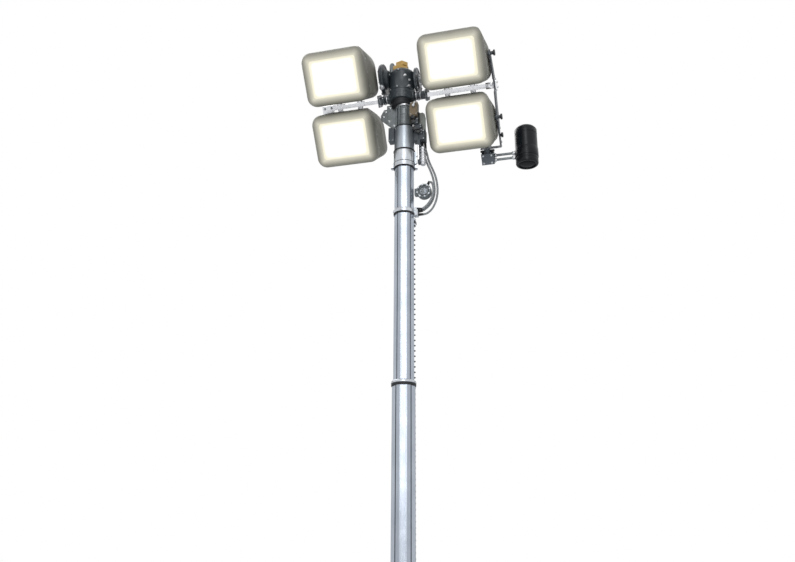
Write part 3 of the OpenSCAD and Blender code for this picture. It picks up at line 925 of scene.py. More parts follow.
BLACK_PLASTIC = Finish("black_plastic", "cord_rubber", (0.016, 0.018, 0.021), (0.01, 0.011, 0.013), 0.38, dust=0.25,
    grain=0.0004)
RUBBER = Finish("black_rubber", "cord_rubber", (0.01, 0.011, 0.013), (0.006, 0.007, 0.008), 0.62, dust=0.25,
    grain=0.0005)
# Grey-green of the sheet beside the spigot, painted shade for the lamp's shaded side behind it.
SHADE_SHEET = Finish("painted_shade_sheet_grey", "box_plastic", (0.34, 0.36, 0.33), (0.24, 0.26, 0.235), 0.45, dust=0.2,
    grain=0.0006)
GREY_PLASTIC = Finish("grey_box_plastic", "box_plastic", (0.075, 0.088, 0.1), (0.05, 0.06, 0.07), 0.5, dust=0.25,
    grain=0.0006)
BRAID = Finish("braided_sheath", "cable_sheath", (0.5, 0.52, 0.53), (0.05, 0.055, 0.06), 0.4, metal=0.4, dust=0.0,
    special=Special.BRAID)
FOOT = Finish("foot_paint_coat", "foot_paint", (0.1, 0.11, 0.12), (0.065, 0.072, 0.08), 0.5, wear=0.8, dust=0.4,
    grain=0.0008)
SHELL = LampShell("lamp_powder_coat", "lamp_paint", (0.19, 0.183, 0.153), (0.155, 0.15, 0.125), 0.5, wear=0.2,
    wear_colour=(0.42, 0.41, 0.36), dust=0.1, grain=0.0006)
FINS = Finish("finned_aluminium", "heatsink_aluminium", (0.2, 0.205, 0.2), (0.13, 0.135, 0.135), 0.5, metal=0.6,
    wear=0.6, grain=0.0005)
POD = Finish("pod_black_coat", "pod_black", (0.005, 0.007, 0.009), (0.003, 0.004, 0.006), 0.3, dust=0.0, grain=0.0002,
    gloss=0.24)
LENS = Finish("dark_lens", "pod_black", (0.006, 0.007, 0.009), (0.004, 0.005, 0.006), 0.3, dust=0.0, grain=0.0,
    gloss=0.08)
WINDOW = LitWindow("lit_window", "window_lit", (1.0, 1.0, 0.985), (0.8, 0.765, 0.6), 1.12)


def dress(piece: Piece, finish: Finish | LitWindow, body: str, replaces: Sequence[str] = (), slot: str = "") -> Piece:
    """Give a piece its finish and the body that it moves with, and report it.

    Args:
        piece: The finished mesh.
        finish: Its finish.
        body: The CAD body that it rides on.
        replaces: CAD nodes that it stands for.
        slot: Not used.

    Returns:
        The piece.
    """
    piece.data.materials.clear()
    piece.data.materials.append(material_of(finish))
    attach(piece, body)
    slot or finish.slot
    if replaces:
        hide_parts(*replaces)
    log.info("%s: %d faces, rides on %s", piece.name, len(piece.data.polygons), body)
    return piece


def material_of(finish: Finish | LitWindow) -> Material:
    """The finish's material, which is made at its first use."""
    return bpy.data.materials.get(finish.name) or finish.make()


def coat(finishes: dict[str, Finish]) -> None:
    """Put finishes on CAD nodes that show as they are."""
    for node, finish in finishes.items():
        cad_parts[node].data.materials[0] = material_of(finish)


def fasten(name: str, model: Piece, places: Iterable[Matrix], body: str, stand: Matrix | None = None) -> None:
    """Set bright screws or bolts of one kind.

    Args:
        name: The joined piece's name.
        model: The screw or bolt.
        places: Where they go.
        body: The CAD body that they ride on.
        stand: Place of the frame that their places are given in.
    """
    piece = copies(name, model, places)
    if stand is not None:
        put(piece, stand)
    dress(piece, STEEL, body)


# ---- fasteners


@dataclass
class Fasteners:
    """Small turned parts that several sub-assemblies use, each built at the origin and pointing up."""

    sides: int = 20

    def hex_bolt(self, size: float) -> Piece:
        """A hexagon head on a washer.

        Args:
            size: The thread's diameter.

        Returns:
            The bolt.
        """
        washer = turned("washer", profile([(1.05, 0), (1.1, 0.04), (1.1, 0.14), (1.02, 0.18)], unit=size), self.sides)
        head = turned("head", profile([(0.9, 0.16), (0.9, 0.66), (0.774, 0.8)], unit=size), 6)
        boss = turned("boss", profile([(0.5, 0.78), (0.45, 0.84)], unit=size), 12)
        return self.done([washer, head, boss])

    def socket_screw(self, size: float) -> Piece:
        """A round head with a hexagon socket.

        Args:
            size: The thread's diameter.

        Returns:
            The screw.
        """
        head = turned("head", profile([(0.72, 0), (0.78, 0.08), (0.78, 0.72), (0.68, 0.84), (0.46, 0.84), (0.42, 0.34),
            (0.1, 0.3)], unit=size), self.sides)
        return self.done([head])

    def stud_nut(self, size: float) -> Piece:
        """A nut on a washer with the stud's end above it.

        Args:
            size: The thread's diameter.

        Returns:
            The nut and stud.
        """
        washer = turned("washer", profile([(1.1, 0), (1.15, 0.04), (1.15, 0.16), (1.08, 0.2)], unit=size), self.sides)
        nut = turned("nut", profile([(0.82, 0.18), (0.95, 0.28), (0.95, 0.95), (0.82, 1.05)], unit=size), 6)
        thread = [ring for k in range(5) for ring in ((0.5, 1.04 + 0.16 * k), (0.44, 1.12 + 0.16 * k))]
        stud = turned("stud", profile([*thread, (0.36, 1.86)], unit=size), self.sides)
        return self.done([washer, nut, stud])

    def knob(self, radius: float, tall: float) -> Piece:
        """A fluted hand knob.

        Args:
            radius: Its radius.
            tall: Its height.

        Returns:
            The knob.
        """
        lobes = 7
        rings = ((0.55, 0), (0.6, 0.3), (0.92, 0.36), (1, 0.48), (1, 0.86), (0.88, 1), (0.3, 0.97))
        body = turned("knob", [(radius * wide, tall * up) for wide, up in rings], 10 * lobes)
        for point in body.data.vertices:
            turn = atan2(point.co.y, point.co.x)
            if point.co.z > tall * 0.34 and point.co.xy.length > radius * 0.5:
                point.co.xy *= 1 - 0.09 * (1 + cos(lobes * turn)) / 2
        return self.done([body])

    def gland(self, radius: float, boot: float) -> Piece:
        """A cable gland: a hexagon, a dome nut and a tapered boot.

        Args:
            radius: Half the cable's thickness.
            boot: Length of the tapered boot.

        Returns:
            The gland, with its boot upwards.
        """
        foot = turned("foot", profile([(2.3, 0), (2.3, 1.3), (2.0, 1.5)], unit=radius), 6)
        dome = turned("dome", profile([(1.85, 1.4), (1.9, 2.6), (1.65, 3.4), (1.4, 3.7)], unit=radius), self.sides)
        rings = [(radius * 1.35, radius * 3.6)]
        for k in range(5):
            z = radius * 3.7 + boot * k / 5
            wide = radius * (1.42 - 0.07 * k)
            rings += [(wide, z + boot * 0.02), (wide, z + boot * 0.11), (wide * 0.84, z + boot * 0.13),
                (wide * 0.84, z + boot * 0.19)]
        taper = turned("taper", [*rings, (radius * 1.05, radius * 3.7 + boot)], self.sides)
        return self.done([foot, dome, taper])

    @staticmethod
    def done(parts: Sequence[Piece]) -> Piece:
        """Join a fastener's parts and shade it."""
        return smooth(joined("fastener", parts))


KIT = Fasteners()


# ---- camera and light


@dataclass
class Studio:
    """Camera, floor and soft light."""

    eye: Point = (0.834, -3.201, 1.536)
    heading: float = 15.1
    pitch: float = 20.3
    roll: float = 0.33
    lens: float = 36.226
    floor_size: float = 60.0
    floor_colour: Colour = (0.93, 0.93, 0.93)
    sky_strength: float = 0.66

    def place_camera(self) -> None:
        """Put the camera low in front of the mast, looking up at the lamps."""
        data = bpy.data.cameras.new("camera")
        data.lens = self.lens
        camera = bpy.data.objects.new("camera", data)
        turn = spin(self.heading, "Z")
        turn @= spin(90 + self.pitch, "X")
        turn @= spin(self.roll, "Z")
        camera.matrix_world = moved(self.eye) @ turn
        show(camera)
        bpy.context.scene.camera = camera

    def lay_floor(self) -> None:
        """Lay a pale floor that fades into the white background."""
        clear_selection()
        bpy.ops.mesh.primitive_plane_add(size=self.floor_size, location=(0, 0, 0))
        floor = take_new("floor")
        material, tree, surface = new_material("pale_floor")
        place = add_node(tree, "TexCoord").outputs["Object"]
        cloud = add_node(tree, "TexNoise", in_Vector=place, in_Scale=0.7).outputs[0]
        pale = colour_mix(tree, cloud, self.floor_colour, tuple(c * 0.985 for c in self.floor_colour))
        feed(surface, Base_Color=pale, Roughness=0.9)
        floor.data.materials.append(material)

    def light(self) -> None:
        """Set up the sky and the lamps of the studio."""
        world = bpy.data.worlds.new("sky")
        world.use_nodes = True
        bpy.context.scene.world = world
        tree = world.node_tree
        tree.nodes.clear()
        path = add_node(tree, "LightPath")
        seen = math_node(tree, "ADD", path.outputs["Is Camera Ray"], path.outputs["Is Glossy Ray"])
        seen = math_node(tree, "MINIMUM", math_node(tree, "ADD", seen, path.outputs["Is Transmission Ray"]), 1.0)
        plain = add_node(tree, "Background", in_0=(0.93, 0.96, 1.0, 1.0), in_1=self.sky_strength)
        white = add_node(tree, "Background", in_0=(1.0, 1.0, 1.0, 1.0), in_1=1.0)
        mix = add_node(tree, "MixShader", in_0=seen, in_1=plain.outputs[0], in_2=white.outputs[0])
        add_node(tree, "OutputWorld", in_0=mix.outputs[0])
        self.softbox("key", (1.0, -4.9, 4.6), (1.3, 5.6), 90.0)
        self.softbox("top", (-1.8, 2.0, 6.5), (3.0, 3.0), 60.0)

    def softbox(self, name: str, at: Point, size: tuple[float, float], power: float) -> None:
        """Hang an area lamp that looks at the lamp bank.

        Args:
            name: Its name.
            at: Where it hangs.
            size: Its width and height.
            power: Its power in watts.
        """
        data = bpy.data.lights.new(name, "AREA")
        data.shape = "RECTANGLE"
        data.size, data.size_y = size
        data.energy = power
        lamp = bpy.data.objects.new(name, data)
        aim = Vector((0.0, 0.0, 3.1)) - Vector(at)
        lamp.matrix_world = moved(at) @ aim.to_track_quat("-Z", "Y").to_matrix().to_4x4()
        show(lamp)


# ---- cords


@dataclass
class Cords:
    """The curly cord behind the mast and the three service cables at its top."""

    cable_r: float = 0.005
    curl_r: float = 0.0135
    curl_wire_r: float = 0.0035
    curl_pitch: float = 0.024
    slide_travel: float = 0.74
    outer_route: tuple[Point, ...] = ((0.091, 0.036, 3.4619), (0.0915, 0.036, 3.446), (0.095, 0.036, 3.422),
        (0.101, 0.036, 3.398), (0.106, 0.037, 3.372), (0.115, 0.038, 3.344), (0.127, 0.039, 3.314),
        (0.138, 0.04, 3.282), (0.145, 0.04, 3.248), (0.148, 0.04, 3.212), (0.146, 0.038, 3.176), (0.138, 0.035, 3.142),
        (0.124, 0.031, 3.112), (0.104, 0.027, 3.091), (0.084, 0.023, 3.084), (0.0635, 0.021, 3.084))
    inner_route: tuple[Point, ...] = ((0.077, 0.036, 3.4619), (0.0775, 0.036, 3.446), (0.081, 0.035, 3.422),
        (0.088, 0.034, 3.396), (0.095, 0.033, 3.368), (0.105, 0.033, 3.338), (0.117, 0.033, 3.306),
        (0.127, 0.033, 3.274), (0.133, 0.033, 3.242), (0.136, 0.032, 3.208), (0.134, 0.029, 3.176),
        (0.126, 0.025, 3.148), (0.113, 0.02, 3.124), (0.096, 0.015, 3.106), (0.08, 0.011, 3.096),
        (0.0635, 0.009, 3.094))
    socket_route: tuple[Point, ...] = ((0.106, 0.0175, 3.227), (0.113, 0.014, 3.237), (0.124, 0.011, 3.236),
        (0.132, 0.009, 3.222), (0.135, 0.008, 3.2), (0.134, 0.006, 3.176), (0.127, 0.005, 3.152), (0.115, 0.004, 3.13),
        (0.098, 0.003, 3.112), (0.08, 0.003, 3.102), (0.0635, 0.004, 3.1045))

    def build(self) -> None:
        """Build every cord and its boots."""
        self.service_cable("service_cable_outer_braid", self.outer_route, "service_cable_outer")
        self.service_cable("service_cable_inner_braid", self.inner_route, "service_cable_inner")
        self.service_cable("socket_cable_braid", self.socket_route, "socket_cable")
        self.curl()

    def service_cable(self, name: str, route: Sequence[Point], node: str) -> None:
        """A braided cable that hangs beside the mast.

        Args:
            name: The piece's name.
            route: The points that it follows.
            node: The CAD node that it replaces.
        """
        line = smooth_path(route)
        cable = swept(name, line, self.cable_r)
        dress(cable, BRAID, MAST_BODY, [node])
        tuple(route[0])

    def curl(self) -> None:
        """The curly cord, built as a fixed helix; it does not shorten as the mast goes down."""
        start, end = low("curly_cord"), high("curly_cord")
        centre = (start + end) / 2
        height = end.z - start.z
        turns = round(height / self.curl_pitch)
        per_turn = 18
        line = []
        for k in range(turns * per_turn + 1):
            turn = tau * k / per_turn
            z = start.z + height * k / (turns * per_turn)
            line.append(Vector((centre.x + self.curl_r * cos(turn), centre.y + self.curl_r * sin(turn), z)))
        cord = swept("curly_cord_helix", line, self.curl_wire_r, 8)
        dress(cord, RUBBER, BASE_BODY, ["curly_cord"])
        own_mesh(cord)


# ---- mast


@dataclass
class Mast:
    """Foot, fluted tubes, collars and the cord box."""

    wide_flats: tuple[float, ...] = (-77.0, -17.0, 43.0, 103.0, 163.0, 223.0)
    grooves: tuple[float, ...] = (-117.0, -37.0, 3.0, 83.0, 123.0, 203.0)
    wide_half: float = 20.0
    narrow_half: float = 10.0
    groove_half: float = 3.1
    groove_depth: float = 0.0016
    wall: float = 0.004
    flatness: float = 0.75

    def build(self) -> None:
        """Build the mast's pieces from the foot up."""
        coat({"foot_flange": FOOT, "cord_box": GREY_PLASTIC, "clamp_ring": COLLAR, "eared_collar": COLLAR})
        self.tube("lower_mast_tube", "lower_tube", BASE_BODY)
        self.tube("upper_mast_tube", "upper_tube", MAST_BODY)
        self.guide_collar()
        self.clamp_ring_fittings()
        self.eared_collar_fittings()
        self.foot_fittings()
        self.cord_box_fittings()

    def outline(self, angle: float) -> float:
        """Share of the full radius that the fluted outline has in one direction.

        Args:
            angle: The direction, in degrees.

        Returns:
            The share, up to 1.
        """
        share = 1.0
        for centre in self.wide_flats:
            for middle_at, half in ((centre, self.wide_half), (centre + 30.0, self.narrow_half)):
                off = (angle - middle_at + 180) % 360 - 180
                if abs(off) <= half:
                    flat = cos(radians(half)) / cos(radians(off))
                    share = 1 + (flat - 1) * self.flatness
        return share

    def off_groove(self, at: Vector) -> tuple[float, float]:
        """Direction of a point from the mast's axis, and how far round it is from the nearest groove.

        Args:
            at: The point.

        Returns:
            Both, in degrees.
        """
        angle = degrees(atan2(at.y, at.x))
        return angle, min(abs((angle - groove + 180) % 360 - 180) for groove in self.grooves)

    def tube(self, name: str, node: str, body: str) -> None:
        """A fluted tube: flats between thin grooves, with a wall; its grooves are marked for painted shade.

        Args:
            name: The piece's name.
            node: The CAD tube that it replaces.
            body: The body that it rides on.
        """
        start, end = low(node), high(node)
        radius, sides, lip = (end.y - start.y) / 2, 720, 0.6
        clear_selection()
        bpy.ops.mesh.primitive_circle_add(vertices=sides, radius=radius, location=(0, 0, start.z))
        tube = take_new(name)
        kept = set()
        for point in tube.data.vertices:
            angle, near = self.off_groove(point.co)
            reach = radius * self.outline(angle)
            if near <= self.groove_half:
                reach -= self.groove_depth * min(1.0, (self.groove_half - near) / lip)
            point.co.xy = point.co.xy.normalized() * reach
            if near <= self.groove_half + lip or point.index % 4 == 0:
                kept.add(point.index)
        start_editing(tube, "VERT")
        bpy.ops.mesh.select_all(action="DESELECT")
        stop_editing()
        for point in tube.data.vertices:
            point.select = point.index not in kept
        bpy.ops.object.mode_set(mode="EDIT")
        bpy.ops.mesh.dissolve_verts()
        bpy.ops.mesh.select_mode(type="EDGE")
        select_all()
        extrude((0, 0, end.z - start.z))
        stop_editing()
        modify(tube, "SOLIDIFY", thickness=self.wall, offset=-1.0, use_rim=True)
        tidy_mesh(tube)
        smooth(tube, radians(14))
        # The grooves are marked so that the finish paints them near black as painted shade.
        mark(tube, "slot", lambda at: float(self.off_groove(at)[1] < self.groove_half - lip / 2))
        dress(tube, TUBE, body, [node])

    def guide_collar(self) -> None:
        """The chamfered guide collar on the lower tube, with its screws and a dark seal that also stands in as painted
        shade under the collar.
        """
        base, top = low("guide_collar").z, high("guide_collar").z
        outer = high("guide_collar").x
        bore = high("upper_tube").y + 0.0005
        collar = smooth(turned("guide_collar_ring",
            [(bore, base + 0.002), *profile([(-1.5, 2), (0, 3.5)], outer, base),
            *profile([(0, -6), (-1.5, -3.5), (-4, -0.5), (-5.5, 0)], outer, top), (bore, top)], 96, hollow=True))
        dress(collar, COLLAR, BASE_BODY, ["guide_collar"])
        tube_r = high("lower_tube").x
        # The dark rubber seal below the collar also stands in for the shade under it.
        seal_and_shade = profile([(-2, -9), (2.2, -9), (3.2, -6), (3.2, 2), (-2, 2)], tube_r, base)
        dress(smooth(turned("guide_collar_seal_and_shade", seal_and_shade, 96, hollow=True)), RUBBER, BASE_BODY)
        places = [round_mast(a, outer - 0.0012, (base + top) / 2 - 0.001) for a in (-135, -15, 105)]
        fasten("guide_collar_screws", KIT.socket_screw(0.004), places, BASE_BODY)

    def dark_band(self, name: str, radius: float, base: float, height: float, proud: float) -> None:
        """A dark rubber ring round the upper mast: a seal that also stands in as painted shade for the dark joint
        beside it.

        Args:
            name: The piece's name.
            radius: Radius of what it sits on.
            base: Its lower edge.
            height: Its height.
            proud: How far it stands out.
        """
        seal_and_shade = smooth(turned(name, [(radius - 0.002, base), (radius + proud * 0.7, base),
            (radius + proud, base + height * 0.3), (radius + proud, base + height * 0.7),
            (radius + proud * 0.7, base + height), (radius - 0.002, base + height)], 96, hollow=True))
        dress(seal_and_shade, RUBBER, MAST_BODY)

    def clamp_ring_fittings(self) -> None:
        """Seal, bright rim, pinch bolts and two ring bolts of the clamp ring."""
        top = high("clamp_ring").z - 0.016
        tube_r = high("upper_tube").y
        # The clamp ring's seal is a dark rubber ring that also stands in for the shade under the ring.
        self.dark_band("clamp_ring_seal_and_shade", tube_r, top - 0.021, 0.007, 0.0032)
        rim = profile([(0.5, 0), (4.2, 0), (4.8, 1), (4.2, 3), (0.5, 3.5)], tube_r, top)
        dress(smooth(turned("clamp_ring_rim", rim, 96, hollow=True)), STEEL, MAST_BODY, slot="collar_aluminium")
        places = [round_mast(a, tube_r + 0.0035, top - 0.007) for a in (-150, -95)]
        lug = high("clamp_ring").x
        places += [facing((lug - 0.001, y, top + 0.01), RIGHT) for y in (0.004, 0.024)]
        fasten("clamp_ring_bolts", KIT.hex_bolt(0.005), places, MAST_BODY)

    def eared_collar_fittings(self) -> None:
        """Ear bolts, seals and the bands between the collar and the adapter."""
        base, top = low("eared_collar").z, high("eared_collar").z
        adapter_r = high("head_adapter").y
        # The seals below and above the collar are dark rubber rings that also stand in for the shade under the collar
        # and in the seams.
        self.dark_band("collar_seal_and_shade_low", high("upper_tube").y, base - 0.004, 0.005, 0.0035)
        self.dark_band("collar_seal_and_shade_high", adapter_r, top - 0.001, 0.005, 0.0046)
        self.dark_band("adapter_seam", adapter_r, top + 0.063, 0.006, 0.0042)
        self.dark_band("spigot_seam", low("spigot").x * -1, high("head_adapter").z - 0.0005, 0.005, 0.0085)
        band = profile([(-1, 5), (1.6, 5), (2.6, 8), (2.6, 58), (1.6, 62), (-1, 62)], adapter_r, top)
        dress(smooth(turned("adapter_band", band, 96, hollow=True)), COLLAR, MAST_BODY)
        out = high("eared_collar").x - 0.009
        ears = [Vector((cos(a), sin(a), 0)) * out for a in (radians(14), radians(194))]
        places = [facing((e.x, e.y, top - 0.0065), UP) for e in ears]
        places += [facing((e.x, e.y, base), DOWN) for e in ears]
        fasten("collar_ear_bolts", KIT.hex_bolt(0.007), places, MAST_BODY)

    def foot_fittings(self) -> None:
        """Anchor nuts, welds and clamp screws of the foot."""
        face, reach, sleeve = 0.016, 0.1, 0.062
        fasten("anchor_nuts", KIT.stud_nut(0.016), [facing((x * reach, y * reach, face), UP) for x, y in CORNERS],
            BASE_BODY)
        beads = []
        for major, height in ((sleeve + 0.001, face + 0.001), (high("lower_tube").x + 0.001, high("foot_flange").z)):
            clear_selection()
            bpy.ops.mesh.primitive_torus_add(major_radius=major, minor_radius=0.0035, major_segments=160,
                minor_segments=10, location=(0, 0, height))
            bead = take_new("bead")
            for point in bead.data.vertices:
                ripple = sin(atan2(point.co.y, point.co.x) * 75)
                away = Vector((point.co.x, point.co.y, 0)).normalized() * major + Vector((0, 0, height))
                point.co = away + (point.co - away) * (1 + 0.16 * ripple)
            beads.append(bead)
        dress(smooth(joined("foot_welds", beads), radians(60)), FOOT, BASE_BODY)
        places = [round_mast(a, sleeve - 0.001, 0.1) for a in (45, 135, 225, 315)]
        fasten("foot_clamp_screws", KIT.hex_bolt(0.01), places, BASE_BODY)

    def cord_box_fittings(self) -> None:
        """Lid, screws, gland nuts and clamp bolts of the cord box."""
        start, end = low("cord_box"), high("cord_box")
        centre_x, centre_y, _ = middle("curly_cord")
        half_w, height, lid_y = 0.055, 0.15, end.y
        lid = block("cord_box_lid", (centre_x, lid_y + 0.002, start.z + height / 2),
            (2 * half_w - 0.004, 0.008, height - 0.004), 0.003)
        sink_panel(lid, 1, 0.001, 0.012, 0.002, 0.0015)
        dress(smooth(lid), GREY_PLASTIC, BASE_BODY)
        inset = 0.009
        spots = [facing((centre_x + x * (half_w - inset), lid_y + 0.005,
            start.z + height / 2 + z * (height / 2 - inset)), REAR) for x, z in CORNERS]
        fasten("cord_box_screws", KIT.socket_screw(0.005), spots, BASE_BODY)
        nut = turned("cord_box_nut", profile([(22.5, 0), (23.5, 2), (23.5, 12), (21.5, 14)], 0, start.z + height), 6)
        top_nut = turned("clamp_arm_nut",
            profile([(21.5, 8), (23.5, 10), (23.5, 20), (22.5, 22)], 0, low("clamp_ring").z), 6)
        for ring, body in ((nut, BASE_BODY), (top_nut, MAST_BODY)):
            dress(put(ring, moved((centre_x, centre_y, 0))), BLACK_PLASTIC, body)
        places = [round_mast(a, high("lower_tube").x + 0.0065, z) for a in (-100, -60)
            for z in (start.z + 0.026, start.z + height - 0.026)]
        fasten("cord_box_clamp_bolts", KIT.hex_bolt(0.005), places, BASE_BODY)


# ---- lamps


@dataclass
class Floodlights:
    """Four lit floodlights with rounded, ribbed bodies, windows and heat sinks."""

    width: float = 0.304
    height: float = 0.248
    corner: float = 0.046
    front: float = 0.198
    back: float = -0.047
    back_side_r: float = 0.033
    back_top_r: float = 0.078
    back_sole_r: float = 0.025
    crown_in: float = 0.027
    crown_deep: float = 0.034
    shoulder_r: float = 0.13
    shoulder_lean: float = radians(15)
    rim: float = 0.04
    window_deep: float = 0.006
    window_thick: float = 0.008
    out: float = 0.276
    up: float = 0.144
    skin: float = 0.0008
    ribs: int = 9
    rib_pitch: float = 0.0115

    def build(self) -> None:
        """Build one lamp and place four of it."""
        models = (("lamp_shell", self.shell(), SHELL, ["lamp"]), ("lamp_lens", self.lens(), WINDOW, ["window"]),
            ("lamp_screws", self.screws(), STEEL, []), ("window_seal", self.window_seal(), SHELL, []),
            ("heatsink_fins", self.heatsink(), FINS, ["heatsink"]))
        for up_word, level in (("upper", 1), ("lower", -1)):
            for side_word, side in (("left", -1), ("right", 1)):
                name = f"{up_word}_{side_word}"
                place = BANK @ moved((side * self.out, 0, level * self.up)) @ spin(90, "X")
                for piece, model, finish, nodes in models:
                    dress(copies(f"{name}_{piece}", model, [place], keep=True), finish, BANK_BODY,
                        [f"{name}_{node}" for node in nodes])
        for _, model, *_ in models:
            bpy.data.objects.remove(model)

    def reach_at(self, z: float) -> tuple[float, float, float]:
        """How far the body reaches sideways, up and down at one depth.

        Args:
            z: Distance in front of the tilt axis.

        Returns:
            Its reach to each side, upwards and downwards.
        """
        reaches = []
        for full, radius in ((self.width / 2, self.back_side_r), (self.height / 2, self.back_top_r),
                (self.height / 2, self.back_sole_r)):
            fall = max(0.0, self.back + radius - z)
            reaches.append(full - radius + sqrt(max(0.0, radius**2 - fall**2)))
        return tuple(reaches)

    def rounded_plane(self, name: str, size: tuple[float, float], corner: float, z: float, steps: int = 12) -> Piece:
        """A flat rectangle with round corners.

        Args:
            name: The piece's name.
            size: Its width and height.
            corner: Radius of its corners.
            z: Its height above the plane.
            steps: Segments in each corner.

        Returns:
            The rectangle.
        """
        clear_selection()
        bpy.ops.mesh.primitive_plane_add(size=1, location=(0, 0, z))
        piece = bpy.context.object
        piece.scale = (size[0], size[1], 1)
        piece = take_new(name)
        start_editing(piece, "VERT")
        bpy.ops.mesh.bevel(offset=corner, offset_type="OFFSET", segments=steps, affect="VERTICES", profile=0.5)
        bpy.ops.mesh.select_mode(type="FACE")
        select_all()
        stop_editing()
        return piece

    def body_steps(self) -> list[tuple[float, float]]:
        """Depths of the body behind its crown, with how far each step is sunk for gaskets and ribs.

        Returns:
            Height and sink of each step, from the crown backwards.
        """
        top = self.front - self.crown_deep
        steps = [(top - 0.01, 0.0), (top - 0.0112, 0.0028), (top - 0.0142, 0.0028), (top - 0.0154, self.skin)]
        z = top - 0.022
        for _ in range(self.ribs):
            steps += [(z, self.skin), (z - 0.0014, 0.0034), (z - 0.0042, 0.0034), (z - 0.0056, self.skin)]
            z -= self.rib_pitch
        first, second = self.back + self.back_top_r, self.back + self.back_side_r
        steps += [(first - (first - second) * k / 8, self.skin) for k in range(9)]
        rounds = 12
        turns = (pi / 2 * k / rounds for k in range(1, rounds + 1))
        return steps + [(second - (second - self.back) * sin(turn), self.skin) for turn in turns]

    def shell(self) -> Piece:
        """The lamp's body: crown, rim, window pocket, ribbed sides and rounded back.

        Returns:
            The body, facing up at the origin.
        """
        top = self.front - self.crown_deep
        body = self.rounded_plane("shell", (self.width, self.height), self.corner, top)
        start_editing(body)
        half_w, half_h, centre, at = self.width / 2, self.height / 2, 0.0, top
        for z, sink in self.body_steps():
            wide, rise, fall = self.reach_at(z)
            wide, tall, shift = wide - sink, (rise + fall) / 2 - sink, (rise - fall) / 2
            extrude((0, shift - centre, z - at), (wide / half_w, tall / half_h, 1), (0, shift, z))
            half_w, half_h, centre, at = wide, tall, shift, z
        select_all()
        bpy.ops.mesh.normals_make_consistent(inside=False)
        select_faces(body, lambda face: abs(face.center.z - top) < 1e-5)
        rounds = 9
        gone_in, gone_up = 0.0, 0.0
        for k in range(1, rounds + 1):
            turn = pi / 2 * k / rounds
            step_in = self.crown_in * (1 - cos(turn)) - gone_in
            step_up = self.crown_deep * sin(turn) - gone_up
            gone_in, gone_up = gone_in + step_in, gone_up + step_up
            bpy.ops.mesh.inset(thickness=step_in, depth=step_up)
        lip = self.rim - self.crown_in - 0.004
        bpy.ops.mesh.inset(thickness=lip * 0.5, depth=-0.0004)
        bpy.ops.mesh.inset(thickness=lip * 0.5, depth=-0.0008)
        bpy.ops.mesh.inset(thickness=0.0025, depth=-0.0022)
        bpy.ops.mesh.inset(thickness=0.0015, depth=-0.012)
        stop_editing()
        self.fit_corners(body)
        self.lean_shoulders(body)
        tidy_mesh(body)
        smooth(body, radians(40))
        self.mark_spill(body)
        return body

    def fit_corners(self, body: Piece) -> None:
        """Tighten the corners of the body's back, where it has grown smaller than its front.

        Args:
            body: The body, facing up at the origin.
        """
        flat_w, flat_h = self.width / 2 - self.corner, self.height / 2 - self.corner
        for point in body.data.vertices:
            x, y, z = point.co
            if z > self.back + self.back_top_r - 1e-6:
                continue
            wide, rise, fall = self.reach_at(z)
            wide, tall, shift = wide - self.skin, (rise + fall) / 2 - self.skin, (rise - fall) / 2
            right = (abs(x) * self.width / 2 / wide - flat_w) / self.corner
            up = (abs(y - shift) * self.height / 2 / tall - flat_h) / self.corner
            sunk = self.height / 2 - (rise if y > shift else fall)
            round_x = self.corner - (self.width / 2 - wide)
            round_y = max(0.022, self.corner - sunk)
            point.co.x = copysign(wide - round_x * (1 - right), x)
            point.co.y = shift + copysign(tall - round_y * (1 - up), y - shift)

    def lean_shoulders(self, body: Piece) -> None:
        """Round off the body's top corners towards its back.

        Args:
            body: The body, facing up at the origin.
        """
        sinks = {round(z, 5): sink for z, sink in self.body_steps()}
        cuts = [((0, y, 0), (0, 1, 0)) for y in (0.0, 0.016, 0.031, 0.045, 0.058, 0.069)]
        cuts += [((side * x, 0, 0), (1, 0, 0)) for side in (-1, 1) for x in (0.03, 0.046, 0.062, 0.077, 0.091)]
        start_editing(body, "VERT")
        for point, normal in cuts:
            select_all()
            bpy.ops.mesh.bisect(plane_co=point, plane_no=normal)
        stop_editing()
        middle_x = self.width / 2 - self.shoulder_r
        for point in body.data.vertices:
            x, y, z = point.co
            rise = (z - self.back) * tan(self.shoulder_lean)
            away = Vector((abs(x) - middle_x, y - (self.height / 2 + rise - self.shoulder_r)))
            reach = self.shoulder_r - sinks.get(round(z, 5), self.skin)
            if min(away) > 0 and away.length > reach:
                near = away.normalized() * (away.length - reach)
                point.co.x -= copysign(near.x, x)
                point.co.y -= near.y

    def mark_spill(self, body: Piece) -> None:
        """Mark how much of the window's light each point of the body catches.

        Args:
            body: The body, facing up at the origin.
        """
        reach = 0.042
        half_w, half_h = self.width / 2 - self.rim, self.height / 2 - self.rim * 0.92
        depth = 0.05

        def share(at: Vector) -> float:
            """Share of the light that one point catches.

            Args:
                at: The point.

            Returns:
                The share, from 0 to 1.
            """
            aside = Vector((max(0.0, abs(at.x) - half_w), max(0.0, abs(at.y) - half_h))).length
            behind = max(0.0, self.front - 0.012 - at.z)
            return max(0.0, 1 - aside / reach) * max(0.0, 1 - behind / depth)

        mark(body, "spill", share)

